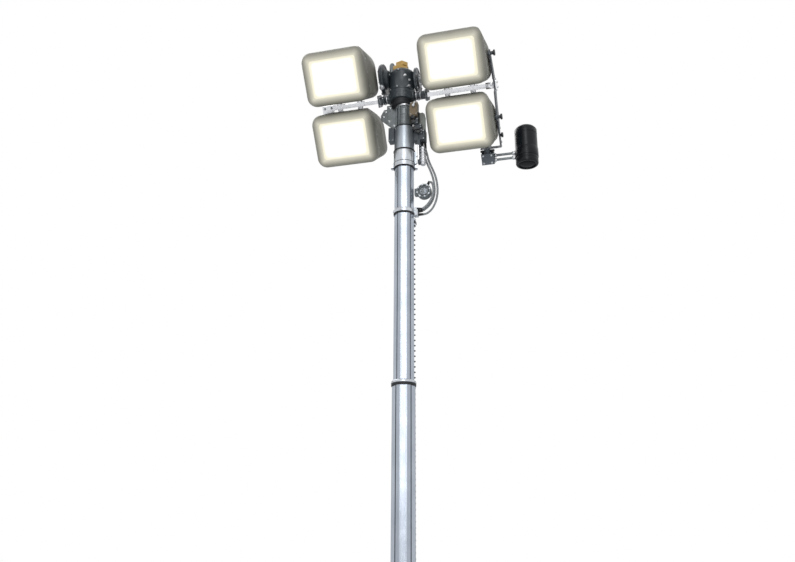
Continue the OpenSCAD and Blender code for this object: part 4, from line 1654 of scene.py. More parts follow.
    def lens(self) -> Piece:
        """The window: a slightly domed frosted pane.

        Returns:
            The pane, facing up at the origin.
        """
        size = (self.width - 2 * self.rim, self.height - 2 * self.rim * 0.925)
        base = self.front - self.window_deep - self.window_thick
        pane = self.rounded_plane("lens", size, 0.016, base, 6)
        start_editing(pane)
        half_w, half_h, at = size[0] / 2, size[1] / 2, base + self.window_thick - 0.0015
        extrude((0, 0, at - base))
        for edge, lift in ((0.0012, 0.0009), (0.004, 0.0015), (0.009, 0.0021), (0.016, 0.0026), (0.025, 0.003),
                (0.036, 0.0032)):
            wide, tall, up = size[0] / 2 - edge, size[1] / 2 - edge, base + self.window_thick - 0.0015 + lift
            extrude((0, 0, up - at), (wide / half_w, tall / half_h, 1), (0, 0, up))
            half_w, half_h, at = wide, tall, up
        stop_editing()
        tidy_mesh(pane)
        smooth(pane, radians(40))
        turn, reach = 0.036, 0.034

        def share(at: Vector) -> float:
            """How far inside the window's edge one point is.

            Args:
                at: The point.

            Returns:
                0 at the edge, 1 well inside it.
            """
            aside = Vector((abs(at.x) - size[0] / 2 + turn, abs(at.y) - size[1] / 2 + turn))
            edge = turn - (aside.length if min(aside) > 0 else max(aside))
            return min(1.0, max(0.0, edge / reach))

        mark(pane, "inwards", share)
        return pane

    def window_seal(self) -> Piece:
        """A thin bead round the window's pocket.

        Returns:
            The bead, facing up at the origin.
        """
        size = (self.width - 2 * self.rim + 0.01, self.height - 2 * self.rim * 0.95 + 0.01)
        bead = self.rounded_plane("seal_and_shade", size, 0.02, self.front - 0.0035, 6)
        start_editing(bead)
        bpy.ops.mesh.inset(thickness=0.003, depth=0.0)
        bpy.ops.mesh.delete(type="FACE")
        stop_editing()
        modify(bead, "SOLIDIFY", thickness=0.003, offset=0.0)
        tidy_mesh(bead)
        modify(bead, "BEVEL", width=0.0008, segments=2, limit_method="ANGLE", angle_limit=radians(50))
        smooth(bead)
        self.mark_spill(bead)
        return bead

    def heatsink(self) -> Piece:
        """The heat sink on the lamp's back: a screwed base with split, sloping fins.

        Returns:
            The heat sink, facing up at the origin.
        """
        half_w = self.width / 2 - self.back_side_r
        top, sole = self.height / 2 - self.back_top_r, self.back_sole_r - self.height / 2
        deep, base, count, thick = 0.026, 0.005, 13, 0.004
        low_y, high_y, back = sole + 0.0005, top - 0.0005, self.back
        parts = [block("base", (0, (low_y + high_y) / 2, back - base / 2 + 0.0005),
            (2 * half_w - 0.01, high_y - low_y, base + 0.001), 0.0016, 2)]
        outline = [(low_y + 0.003, 0.0), (low_y + 0.01, deep), (-0.034, deep), (-0.031, 0.01), (-0.024, 0.01),
            (-0.021, deep), (high_y - 0.014, deep), (high_y - 0.003, 0.0)]
        fin = plate("fin", outline, thick, 0.0007)
        stand = Matrix(((0, 0, 1, 0), (1, 0, 0, 0), (0, -1, 0, back - 0.001), (0, 0, 0, 1)))
        pitch = (2 * half_w - 0.016 - thick) / (count - 1)
        spots = [moved(((k - (count - 1) / 2) * pitch, 0, 0)) @ stand for k in range(count)]
        parts.append(copies("fins", fin, spots))
        return joined("heatsink", parts)

    def screws(self) -> Piece:
        """Screws round the sides of the body and its heat sink's base, with a breather plug and a gland.

        Returns:
            The screws, facing up at the origin.
        """
        depth = self.front - self.crown_deep - 0.0132
        wide, tall = self.width / 2 - 0.003, self.height / 2 - 0.003
        places = []
        for share in (-0.5, 0.0, 0.5):
            for side in (-1, 1):
                places.append(facing((side * wide, share * 0.124, depth), (side, 0, 0)))
                places.append(facing((share * 0.2, side * tall, depth), (0, side, 0)))
        places += [facing((x, y, self.back - 0.0045), DOWN) for x in (-0.0965, 0.0965) for y in (-0.094, 0.041)]
        parts = [copies("screws", KIT.socket_screw(0.0042), places)]
        crown = (self.height / 2 - self.back_top_r * 0.66, self.back + self.back_top_r * 0.06)
        parts.append(put(KIT.hex_bolt(0.009), facing((-0.08, *crown), (0, 0.34, -0.94))))
        parts.append(put(KIT.gland(0.0042, 0.012), facing((0.08, *crown), (0, 0.34, -0.94))))
        return joined("screws", parts)


# ---- head


@dataclass
class Head:
    """Adapter, spigot, housing, covers and the pieces on them."""

    radius: float = 0.062
    bore: float = 0.0355
    seam_height: float = 0.048
    shaft_r: float = 0.012
    lid_rise: float = 0.011

    @property
    def axis(self) -> Matrix:
        """Place of the housing's own axis, beside the mast's."""
        return moved((middle("head_housing").x, 0, 0))

    def build(self) -> None:
        """Build the head's pieces from the adapter up."""
        coat({"head_adapter": CAST, "spigot": SPIGOT, "gusset_bracket": SPIGOT, "limit_switch": TAN,
            "gland_plate": GREY_PLASTIC})
        self.housing()
        self.cap()
        self.left_cover()
        self.right_cover()
        self.bearing_skirt()
        self.spigot_fittings()
        self.switch_fittings()
        self.gland_fittings()
        self.plug()
        self.socket()

    def housing(self) -> None:
        """The turned housing with its seams, flange screws and bearing bosses."""
        base, top = low("head_housing").z, high("head_housing").z
        r, seam = self.radius, base + self.seam_height
        body = put(turned("head_housing_body",
            [(0.02, base), *profile([(-7, 0), (-1.5, 1.2), (0, 4)], r, base),
            *profile([(0, -1.6), (-1.8, -0.8), (-1.8, 0.8), (0, 1.6), (0, 16), (-1.2, 18)], r, seam),
            *profile([(-1.2, -34), (0, -32), (0, -26), (-1.4, -25.2), (-1.4, -23.5), (0, -22.6), (0, -13.5),
            (-1.2, -11.5), (-12, -0.8), (-13.5, -0.2)], r, top), (0.02, top - 0.0002)], 96), self.axis)
        drill(body, [moved((0, 0, base))], self.bore, 0.024, 96)
        dress(smooth(body), HOUSING, PAN_BODY, ["head_housing"])
        flange = [self.axis @ round_mast(-52 + 45 * k, r - 0.0006, seam + 0.0085) for k in range(8)]
        upper = [self.axis @ round_mast(a, r - 0.0006, top - 0.018) for a in (-92, -32, 148, -152)]
        screws = copies("housing_screws", KIT.socket_screw(0.0052), flange + upper)
        bolts = copies("housing_bolts", KIT.hex_bolt(0.0065), [self.axis @ round_mast(a, r - 0.0014, top - down)
            for a, down in ((-62, 0.05), (-40, 0.072), (-42, 0.104), (-176, 0.047))])
        dress(joined("housing_fasteners", [screws, bolts]), STEEL, PAN_BODY)
        bosses = []
        for side in (-1, 1):
            boss = turned("boss", [(self.shaft_r + 0.0016, 0),
                *profile([(27.5, 0), (27.5, 7.5), (25.5, 10), (19, 10.5), (18, 11.6)]),
                (self.shaft_r + 0.0016, 0.0116)], 48, hollow=True)
            bosses.append(put(boss, self.axis @ facing((side * 0.0545, 0, TILT_AXIS.z), (side, 0, 0))))
        dress(smooth(joined("bearing_bosses", bosses)), HOUSING, PAN_BODY)

    def cap(self) -> None:
        """The amber hexagonal cap: a flange, a bevelled hexagon and a stepped, off-centre top."""
        base, top = low("hex_cap").z, high("hex_cap").z
        centre = middle("hex_cap").x
        across = 0.0404
        flange = turned("flange", profile([(31, 0), (32, 0.8), (32, 6), (30, 8)], second=base), 48)
        body = turned("hexagon", profile([(-3, 6), (0, 9), (0, 28), (-1.5, 30.5), (-6, 31)], across, base), 6)
        crown = turned("crown", [*profile([(33, 30), (33, 52), (31.5, 55)], second=base),
            *profile([(27, -2.2), (23, -0.8), (8, 0)], second=top)], 6)
        turn = spin(14, "Z")
        put(body, turn)
        put(crown, moved((0.0068, 0.002, 0)) @ turn)
        collar = put(turned("collar", profile([(34.5, 29.5), (34.5, 32.5), (33, 34)], second=base), 40),
            moved((0.005, 0, 0)))
        cap = joined("amber_cap", [flange, body, collar, crown])
        modify(cap, "BEVEL", width=0.001, segments=2, limit_method="ANGLE", angle_limit=radians(34))
        smooth(cap, radians(28))
        dress(put(cap, moved((centre, 0, 0))), BRASS, PAN_BODY, ["hex_cap"])
        rings = [(14, -1), (15, 1), (15, 4), (13.5, 5), (13.5, 42), (12.4, 50), (9, 56.5), (2, 59)]
        plug = smooth(turned("cap_plug", profile(rings, second=base), 40))
        dress(put(plug, moved((centre - 0.04, -0.008, 0))), SPIGOT, PAN_BODY)

    def lid(self, rim: float, start: float, face: float, holes: int) -> tuple[Piece, list[Matrix], list[Matrix]]:
        """A stepped disc with a boss and lightening holes, about the origin.

        Args:
            rim: Its radius.
            start: Height of its underside.
            face: Height of its face; the boss stands 6 mm above it.
            holes: Number of its lightening holes.

        Returns:
            The disc, and the places of its rim screws and of its boss bolts.
        """
        disc = turned("disc", [*profile([(-20, 0), (-4, 0), (0, 3)], rim, start),
            *profile([(0, -3), (-3, 0), (-9, 0), (-10.5, -2.2), (-26, -2.2), (-27.5, 0.5), (-30, 1.5), (-32, 5.2),
            (-34, 6)], rim, face), *profile([(12, 6), (10.5, 3.5), (4, 3)], second=face)], 96)
        turns = [tau * (k + 0.5) / holes for k in range(holes)]
        away = rim - 0.0185
        drill(disc, [facing((away * cos(a), away * sin(a), face), UP) for a in turns], 0.0052, 0.014, 20)
        smooth(disc)
        ways = [Vector((cos(a - pi / holes), sin(a - pi / holes), 0)) for a in turns]
        rims = [facing(at * (rim - 0.0055) + Vector((0, 0, face - 0.0008)), UP) for at in ways]
        bosses = [facing(at * (rim - 0.042) + Vector((0, 0, face + 0.0055)), UP) for at in ways]
        return disc, rims, bosses

    @staticmethod
    def lid_screws(name: str, stand: Matrix, rims: Sequence[Matrix], bosses: Sequence[Matrix],
            more: Sequence[Matrix] = ()) -> None:
        """Screws of a side cover.

        Args:
            name: The piece's name.
            stand: Place of the cover.
            rims: Places of its rim screws.
            bosses: Places of its boss bolts.
            more: Places of further, larger bolts.
        """
        parts = [copies("rim_screws", KIT.socket_screw(0.0042), [stand @ at for at in rims]),
            copies("boss_screws", KIT.hex_bolt(0.0048), [stand @ at for at in bosses])]
        if more:
            parts.append(copies("bolts", KIT.hex_bolt(0.0075), [stand @ at for at in more]))
        dress(joined(name, parts), STEEL, PAN_BODY)

    def right_cover(self) -> None:
        """The right side cover: a ribbed drum with a drilled lid."""
        start, end = low("right_cover"), high("right_cover")
        disc, rims, bosses = self.lid((end.z - start.z) / 2, start.x + 0.0085, end.x - 0.006, 6)
        neck = turned("neck", profile([(40, 4), (42, 5), (42, 10)], second=start.x), 64)
        stand = facing((0, (start.y + end.y) / 2, (start.z + end.z) / 2), RIGHT)
        dress(put(joined("right_cover_disc", [disc, neck]), stand), HOUSING, PAN_BODY, ["right_cover"])
        self.lid_screws("right_cover_screws", stand, rims, bosses)

    def left_cover(self) -> None:
        """The left side cover: a deep ribbed drum with a smaller, drilled lid set high on it."""
        start, end = low("left_cover"), high("left_cover")
        rim = (end.z - start.z) / 2
        near, far, edge = -end.x + 0.02, -start.x - 0.012, -start.x
        neck = profile([(42, -17), (44, -14), (44, -6), (47, -3), (47, 2)], 0, near)
        rings = profile([(-12, 2), (-10, 0), (-3, 0), (0, 3), (0, 5.5), (-2.2, 6.5), (-2.2, 8.9), (0, 9.9)], rim, near)
        drum = smooth(turned("drum", [*neck, *rings, *profile([(0, -2.5), (-2.5, 0), (-24, 0)], rim, far)], 96))
        disc, rims, bosses = self.lid(rim - self.lid_rise, far - 0.003, edge - 0.006, 7)
        stand = facing((0, (start.y + end.y) / 2, (start.z + end.z) / 2), LEFT)
        raised = moved((0, 0, self.lid_rise)) @ stand
        dress(joined("left_cover_disc", [put(disc, raised), put(drum, stand)]), HOUSING, PAN_BODY, ["left_cover"])
        away = rim - 0.0045
        low_bolts = [stand.inverted() @ facing((-far + 0.0005, stand.translation.y + away * sin(a),
            stand.translation.z - away * cos(a)), LEFT) for a in (radians(8), radians(34))]
        self.lid_screws("left_cover_screws", raised, rims, bosses, [raised.inverted() @ stand @ at for at in low_bolts])
        out = Vector((0, -cos(radians(60)), -sin(radians(60))))
        at = stand.translation + out * (away + 0.004) + Vector((-(near + far) / 2 - 0.001, 0, 0))
        fasten("left_cover_clamp_bolts", KIT.hex_bolt(0.012), [facing(at, out + Vector((0.5, 0, 0)))], PAN_BODY)

    def bearing_skirt(self) -> None:
        """The dark bearing skirt under the housing and the polished ring below it."""
        base = low("head_housing").z
        skirt = put(turned("bearing_skirt",
            profile([(30, -30), (44, -30), (46.5, -28.5), (51, -21), (52, -13.5), (50.5, -12.5), (50.5, -10.5),
            (52, -9.5), (53.5, -2), (52.5, -0.8), (30, -0.8)], second=base), 96), self.axis)
        drill(skirt, [moved((0, 0, base - 0.017))], 0.0352, 0.06, 96)
        dress(smooth(skirt), RUBBER, MAST_BODY)
        ring = profile([(34.5, -39), (40, -39), (42.5, -37.5), (43, -34.5), (42.5, -30.5), (34.5, -30)], second=base)
        dress(smooth(turned("polished_ring", ring, 96, hollow=True)), STEEL, MAST_BODY)

    def spigot_fittings(self) -> None:
        """Tie rods with nuts round the spigot, its step rings and the bolts of the gusset bracket."""
        foot, roof = high("head_adapter").z, low("head_housing").z - 0.03
        rods = []
        for angle in (-118, -64, 62, 118, 200):
            at = Vector((cos(radians(angle)), sin(radians(angle)), 0)) * 0.0375
            rod = turned("rod", [(0.003, foot + 0.004), (0.0034, foot + 0.006), (0.0034, roof - 0.008),
                (0.003, roof - 0.002)], 14)
            rods.append(put(rod, moved(at)))
            rods.append(put(KIT.stud_nut(0.0062), moved(at + Vector((0, 0, foot)))))
            rods.append(put(KIT.hex_bolt(0.0062), facing(at + Vector((0, 0, roof - 0.004)), DOWN)))
        dress(joined("tie_rods", rods), SPIGOT, MAST_BODY)
        rings = []
        for height, wide in ((foot + 0.01, 0.004), (foot + 0.062, 0.0022), (roof - 0.016, 0.0026)):
            rings.append(turned("step", [(0.034, height - wide), (0.0362, height - wide), (0.037, height - wide * 0.6),
                (0.037, height + wide * 0.6), (0.0362, height + wide), (0.034, height + wide)], 72, hollow=True))
        dress(smooth(joined("spigot_steps", rings)), SPIGOT, MAST_BODY)
        gusset = low("gusset_bracket")
        spots = [facing((x, y * 0.0038, foot + z), (0, y, 0)) for y in (-1, 1)
            for x, z in ((gusset.x + 0.022, 0.104), (gusset.x + 0.012, 0.078), (-0.072, 0.124), (-0.05, 0.022),
            (-0.076, 0.05))]
        fasten("gusset_bolts", KIT.hex_bolt(0.0056), spots, MAST_BODY)
        self.terminals(foot)
        shoulder = [round_mast(a, 0.0445, foot - 0.013) for a in (-140, -100, -60, -20, 60, 100, 140, 180)]
        fasten("adapter_shoulder_screws", KIT.socket_screw(0.0052), shoulder, MAST_BODY)
        lug = [round_mast(14, 0.0555, z) for z in (high("eared_collar").z + 0.012, high("eared_collar").z + 0.048)]
        fasten("adapter_lug_bolts", KIT.hex_bolt(0.0065), lug, MAST_BODY)

    def terminals(self, foot: float) -> None:
        """Terminal blocks beside the spigot, with their screws, a ringed inlet and cable glands, and behind them a
        grey-green sheet that stands in as painted shade for the lamp's shaded side.

        Args:
            foot: Height of the adapter's top.
        """
        right, left, spots = [], [], []
        for pads, at, size in ((left, (-0.059, -0.004, foot - 0.034), (0.028, 0.036, 0.074)),
                (right, (0.056, 0.004, foot + 0.03), (0.026, 0.026, 0.03)),
                (right, (0.064, 0.008, foot + 0.004), (0.042, 0.022, 0.022)),
                (right, (0.07, 0.012, foot - 0.022), (0.034, 0.02, 0.028))):
            pad = block("pad", at, size, 0.003)
            sink_panel(pad, -1, 0.0003, 0.003, 0.0008, 0.0012)
            pads.append(pad)
            half_x, half_y, half_z = size[0] / 2 - 0.0055, size[1] / 2 - 0.001, size[2] / 2 - 0.0055
            spots += [facing((at[0] + x * half_x, at[1] - half_y, at[2] + z * half_z), FRONT) for x, z in CORNERS]
        inlet = turned("inlet", profile([(7.5, 0), (12.5, 0.4), (13, 1.6), (13, 9.5), (11.8, 11), (9.2, 11), (8.5, 9.8),
            (8.5, 4), (3, 3.6)]), 40)
        glands = [put(KIT.gland(0.0052, 0.016), facing((x, y, foot + 0.0425), way))
            for x, y, way in ((0.062, 0.002, (0.25, -0.2, 1)), (0.05, -0.002, (0, -0.3, 1)))]
        dress(put(inlet, facing((0.066, 0.003, foot - 0.022), (0.25, -1, 0))), BLACK_PLASTIC, MAST_BODY)
        dress(joined("terminal_glands", glands), BLACK_PLASTIC, MAST_BODY)
        # Painted shade: a grey-green sheet that stands in for the shaded side of the lower right lamp, seen behind the
        # spigot.
        outline = profile([(50, -52), (90, -52), (99, -42), (99, 58), (93, 82), (84, 90), (50, 90)], second=foot)
        shade_sheet = smooth(plate("painted_shade_sheet", outline, 0.003, 0.0008))
        dress(put(shade_sheet, moved((0, 0.0235, 0)) @ spin(90, "X")), SHADE_SHEET, MAST_BODY)
        for name, pads in (("terminal_blocks", right), ("left_terminal_block", left)):
            dress(smooth(joined(name, pads)), GREY_PLASTIC, MAST_BODY)
        fasten("terminal_block_screws", KIT.socket_screw(0.003), spots, MAST_BODY)

    def switch_fittings(self) -> None:
        """Lid, lever, roller and knobs of the limit switch."""
        start, end = low("limit_switch"), high("limit_switch")
        body_low = end.z - 0.076
        centre = ((0.03 + end.x) / 2, start.y, (body_low + end.z) / 2)
        lid = block("switch_lid", (centre[0] + 0.002, start.y - 0.0012, centre[2]), (0.032, 0.006, 0.068), 0.0022)
        sink_panel(lid, -1, 0.0005, 0.0045, 0.001, 0.0012)
        dress(smooth(lid), TAN, MAST_BODY)
        places = [facing((centre[0] + 0.002 + x * 0.0125, start.y - 0.0036, centre[2] + z * 0.0305), FRONT)
            for x, z in CORNERS]
        parts = [copies("lid_screws", KIT.socket_screw(0.0034), places)]
        pivot = turned("pivot", profile([(7.5, 0), (8, 0.6), (8, 6), (6, 7.5)]), 28)
        parts.append(put(pivot, facing((centre[0] + 0.002, start.y - 0.004, centre[2] + 0.014), FRONT)))
        lever = plate("lever", profile([(-4.5, -6), (4.5, -6), (3.4, 20), (-3.4, 20)]), 0.003, 0.0006)
        parts.append(put(lever, moved((centre[0] + 0.002, start.y - 0.0115, centre[2] + 0.014)) @ spin(90, "X")
            @ spin(-24, "Z")))
        dress(joined("switch_lever", parts), STEEL, MAST_BODY)
        way = (0.35, -0.94, 0)
        knobs = [put(KIT.knob(r, tall), facing((x, y, body_low - down), way))
            for x, y, down, r, tall in ((0.043, -0.0215, 0.014, 0.0105, 0.016), (0.048, -0.033, 0.046, 0.0095, 0.014),
            (0.052, -0.023, 0.078, 0.01, 0.016))]
        knobs += [put(turned("stem", [(0.0042, 0), (0.0042, 0.03)], 16), facing((x, y, body_low - down), way))
            for x, y, down in ((0.033, -0.0015, 0.014), (0.037, -0.005, 0.046), (0.042, 0.003, 0.078))]
        dress(joined("switch_knobs", knobs), BLACK_PLASTIC, MAST_BODY)

    def gland_fittings(self) -> None:
        """Cover, screws and cable boots of the gland plate, and boots where the cables end."""
        start, end = low("gland_plate"), high("gland_plate")
        box_low = end.z - 0.056
        lid = block("gland_plate_lid", (0.07, 0.0105, end.z - 0.028), (0.05, 0.007, 0.05), 0.0022)
        sink_panel(lid, -1, 0.0005, 0.005, 0.0012, 0.0014)
        dress(smooth(lid), GREY_PLASTIC, MAST_BODY)
        places = [facing((0.07 + x * 0.0205, 0.0075, end.z - 0.028 + z * 0.0205), FRONT) for x, z in CORNERS]
        places += [facing((0.0755, 0.004, z), RIGHT) for z in (start.z + 0.014, start.z + 0.092)]
        fasten("gland_plate_screws", KIT.socket_screw(0.0036), places, MAST_BODY)
        cords = Cords()
        pair, single = (cords.outer_route, cords.inner_route), cords.socket_route
        boots = [self.boot(route[0], route[2], 0.004, 0.034, box_low) for route in pair]
        boots.append(self.boot(single[0], single[1], 0.006, 0.02))
        boots += [self.boot(route[-1], route[-2], 0.004, 0.022) for route in (*pair, single)]
        dress(joined("cable_boots", boots), RUBBER, MAST_BODY)

    @staticmethod
    def boot(start: Point, towards: Point, sunk: float, length: float, height: float | None = None) -> Piece:
        """A ribbed, tapered boot round the end of a service cable.

        Args:
            start: Where the cable leaves its fitting.
            towards: A point further along the cable.
            sunk: How far the boot starts inside the fitting.
            length: Its length outside the fitting.
            height: Height of the fitting's face, where the boot starts there.

        Returns:
            The boot.
        """
        rings = [(0.0064, -sunk), (0.0066, length * 0.22), (0.0058, length * 0.26)]
        for k in range(4):
            z, wide = length * (0.3 + 0.16 * k), 0.0064 - 0.00022 * k
            rings += [(wide, z), (wide, z + length * 0.08), (wide - 0.0007, z + length * 0.09),
                (wide - 0.0007, z + length * 0.15)]
        boot = smooth(turned("boot", [*rings, (0.0053, length)], 20))
        at = Vector(start)
        if height is not None:
            at.z = height
        return put(boot, facing(at, Vector(towards) - Vector(start)))

    def plug(self) -> None:
        """The ringed plug connector with its bright strip and threaded ends."""
        start, end = low("plug_connector"), high("plug_connector")
        x, y = (start.x + end.x) / 2, (start.y + end.y) / 2
        rings = profile([(10.8, -10), (11.8, -9), (11.8, -1), (12.6, 0)], second=start.z)
        z = start.z
        while z < end.z - 0.014:
            rings += profile([(13, 3), (14.6, 4.2), (14.9, 5.6), (14.9, 11.8), (14.6, 13.2), (13, 14.4)], second=z)
            z += 0.0165
        rings += profile([(13, -4), (12.2, -1), (10, 0)], second=end.z)
        body = smooth(turned("plug_connector_body", rings, 48))
        dress(put(body, moved((x, y, 0))), STEEL, MAST_BODY, ["plug_connector"])
        at = (x - 0.0195, y - 0.0115, (start.z + end.z) / 2 + 0.012)
        strip = smooth(block("plug_connector_strip", at, (0.007, 0.004, 0.078), 0.0012))
        dress(strip, BAR, MAST_BODY, slot="plug_metal")

    def socket(self) -> None:
        """The round junction socket: a knurled ring, a recessed face with pins, and its clamp."""
        start, end = low("junction_socket"), high("junction_socket")
        radius, thick = 0.036, 0.034
        centre = Vector((end.x - radius, end.y, middle("junction_socket").z))
        body = turned("body", [*profile([(30, 0), (33, 1.2), (33, 9), (34.5, 10), (34.5, 12), (32.5, 13), (32.5, 15)]),
            *profile([(-0.6, 16.5), (-0.6, 29)], radius), (0.0345, 0.032),
            *profile([(32.5, 0), (27, 0), (26.2, -6), (22.5, -7.2), (21.5, -3), (18.5, -2), (17.5, -7), (10, -8)],
            second=thick)], 96)
        for point in body.data.vertices:
            if 0.016 < point.co.z < 0.0295 and point.co.xy.length > 0.035:
                turn = atan2(point.co.y, point.co.x)
                point.co.xy *= 1 + 0.012 * cos(24 * turn)
        smooth(body)
        stand = facing(centre, FRONT)
        put(body, stand)
        arm = smooth(block("arm", ((start.x + centre.x) / 2 + 0.004, 0.018, centre.z),
            (centre.x - start.x - 0.004, 0.022, 0.036), 0.003))
        dress(joined("junction_socket_body", [body, arm]), SPIGOT, MAST_BODY, ["junction_socket"])
        face = smooth(turned("junction_socket_face",
            profile([(17.2, -8.5), (17.2, -6.2), (16, -5.2), (14, -5.2), (13.2, -6.6), (4, -6.6)], second=thick), 64))
        dress(put(face, stand), CAST, MAST_BODY)
        notch = turned("notch", profile([(4.6, -1), (4.6, 1), (3.8, 1.8), (1.2, 1.8)]), 18)
        spots = [stand @ moved((0.03 * cos(a), 0.03 * sin(a), thick)) for a in (tau * (k + 0.25) / 8 for k in range(8))]
        dress(copies("junction_socket_notches", notch, spots), COLLAR, MAST_BODY, slot="cast_grey")
        pin = turned("pin", profile([(2.2, 0), (2.2, 7.2), (1.7, 8.2)]), 14)
        spots = [stand @ moved((0.0115 * cos(tau * k / 6), 0.0115 * sin(tau * k / 6), thick - 0.0085))
            for k in range(6)]
        pins = copies("pins", pin, spots)
        centre_pin = put(KIT.socket_screw(0.0055), stand @ moved((0, 0, thick - 0.0085)))
        rim = [stand @ facing((0.03 * cos(a), 0.03 * sin(a), thick - 0.0008), UP)
            for a in (radians(45 + 90 * k) for k in range(4))]
        screws = copies("rim_screws", KIT.socket_screw(0.0032), rim)
        dress(joined("junction_socket_pins", [pins, centre_pin, screws]), STEEL, MAST_BODY)


# ---- lamp frame


@dataclass
class BankFrame:
    """Shaft, hubs, crossbars, side plates, saddle and the sensor pod with its arms."""

    bar_y: float = -0.03
    bar_half_d: float = 0.017
    pivot_y: float = -0.086
    level: float = 0.144
    hub_starts: tuple[float, ...] = (0.079, 0.055)
    inner_x: float = 0.114
    outer_x: float = 0.436
    plate_t: float = 0.006

    def build(self) -> None:
        """Build the pieces that tilt with the lamps."""
        coat({"tilt_shaft": STEEL, "tilt_hubs": HOUSING, "left_crossbar": BAR, "right_crossbar": BAR,
            "right_outer_plate": PLATE, "left_saddle": BAR, "pod_block": DARK_CAST, "pod_arms": SPIGOT})
        self.inner_plate("left_side_plate_drilled", "left_side_plate", -1)
        self.inner_plate("right_inner_plate_drilled", "right_inner_plate", 1)
        self.outer_webs()
        self.bar_clamps()
        self.plate_fittings()
        self.end_clamp()
        self.pod()

    @staticmethod
    def across(x: float) -> Matrix:
        """Place of a sheet that stands across the crossbars and is drawn by its depth and height."""
        return BANK @ Matrix(((0, 0, 1, x), (1, 0, 0, 0), (0, 1, 0, 0), (0, 0, 0, 1)))

    def inner_plate(self, name: str, node: str, side: int) -> None:
        """A side plate: a pad round the crossbar and a drilled flange round the tilt axis.

        Args:
            name: The piece's name.
            node: The CAD node that it replaces.
            side: -1 for the left plate, 1 for the right one.
        """
        near, far, tall, flange = -0.057, -0.003, 0.028, 0.028
        meet = acos(far / flange) - 0.02
        arc = [(flange * cos(meet * (1 - k / 12)), flange * sin(meet * (1 - k / 12))) for k in range(25)]
        sheet = plate(name, [(near, -tall), (near, tall), (far, tall), *arc, (far, -tall)], self.plate_t, 0.0008)
        drill(sheet, [facing((u, v, 0), UP) for u, v in ((-0.03, 0.02), (-0.03, -0.02), (0.0, 0.0))], 0.0048, 0.02, 28)
        smooth(sheet)
        dress(put(sheet, self.across(side * (self.inner_x + self.plate_t / 2))), PLATE, BANK_BODY, [node])

    def outer_webs(self) -> None:
        """Drilled webs on the outer plate's inner side, one beside each right lamp."""
        thick = 0.0026
        upper = profile([(-54, 27), (34, 27), (41, 34), (40, 66), (-2, 146), (-12, 156), (-24, 160), (-76, 160)])
        lower = profile([(-76, -160), (-60, -214), (-20, -214), (22, -204), (36, -190), (41, -160), (41, -34),
            (34, -27), (-54, -27)])
        for name, outline, holes in (("upper_outer_web", upper, ((0.018, 0.05), (-0.006, 0.096))),
                ("lower_outer_web", lower, ((0.018, -0.05), (0.01, -0.11), (0.006, -0.172)))):
            web = plate(name, outline, thick, 0.0005)
            drill(web, [facing((u, v, 0), UP) for u, v in holes], 0.0065, 0.02, 28)
            smooth(web)
            dress(put(web, self.across(self.outer_x - thick / 2)), PLATE, BANK_BODY)

    def bar_clamps(self) -> None:
        """Pads with bolts where the posts stand on the crossbars, and the bolts of the left saddle."""
        rear = self.bar_y + self.bar_half_d
        pads, bolts = [], []
        for x in (-0.316, -0.216, 0.216, 0.336):
            pads.append(block("pad", (x, rear + 0.0015, 0), (0.046, 0.006, 0.0235), 0.0016, 2))
            bolts += [facing((x + dx, rear + 0.0042, 0), REAR) for dx in (-0.015, 0.015)]
        piece = smooth(joined("crossbar_pads", pads))
        dress(put(piece, BANK), BAR, BANK_BODY)
        bolts += [facing((x, -0.0555, z), FRONT) for x in (-0.388, -0.354) for z in (0.002, -0.026)]
        fasten("crossbar_bolts", KIT.hex_bolt(0.0056), bolts, BANK_BODY, BANK)

    def plate_fittings(self) -> None:
        """Knobs, bolts and washers of the side plates, hubs and foot plate."""
        out = self.outer_x + self.plate_t
        knobs = [put(KIT.knob(0.014, 0.013), facing((out + 0.0085, self.pivot_y, level * self.level), RIGHT))
            for level in (-1, 1)]
        knobs.append(put(KIT.knob(0.012, 0.014), facing((out - 0.0005, -0.06, -0.23), RIGHT)))
        dress(put(joined("outer_plate_knobs", knobs), BANK), BLACK_PLASTIC, BANK_BODY)
        places = [facing((out - 0.0005, y, z), RIGHT) for y, z in ((-0.046, 0.024), (-0.014, 0.024), (-0.046, -0.024),
            (-0.014, -0.024), (-0.06, -0.196), (-0.06, -0.262))]
        places += [facing((side * (self.inner_x + 0.0003), y, z), (-side, 0, 0)) for side in (-1, 1)
            for y in (-0.013, -0.048) for z in (0.02, -0.02)]
        places += [facing((x, y, -0.2802), UP) for x in (0.36, 0.388) for y in (-0.074, -0.046)]
        bolts = copies("plate_bolts", KIT.hex_bolt(0.0065), places)
        hubs = list(zip((-1, 1), self.hub_starts))
        hub_screws = [facing((side * (start + 0.016), -0.019 * cos(a), 0.019 * sin(a)), (0, -cos(a), sin(a)))
            for side, start in hubs for a in (radians(58), radians(-58))]
        screws = copies("hub_screws", KIT.socket_screw(0.006), hub_screws)
        dress(put(joined("plate_bolts", [bolts, screws]), BANK), STEEL, BANK_BODY)
        rings = []
        for side, start in hubs:
            for x in (start + 0.006, start + 0.026):
                ring = turned("collar", profile([(19.5, -2), (20.8, -2), (21.3, -1), (21.3, 1), (20.8, 2), (19.5, 2)]),
                    48, hollow=True)
                rings.append(put(ring, facing((side * x, 0, 0), RIGHT)))
        rim = smooth(joined("hub_rims", rings))
        dress(put(rim, BANK), STEEL, BANK_BODY)

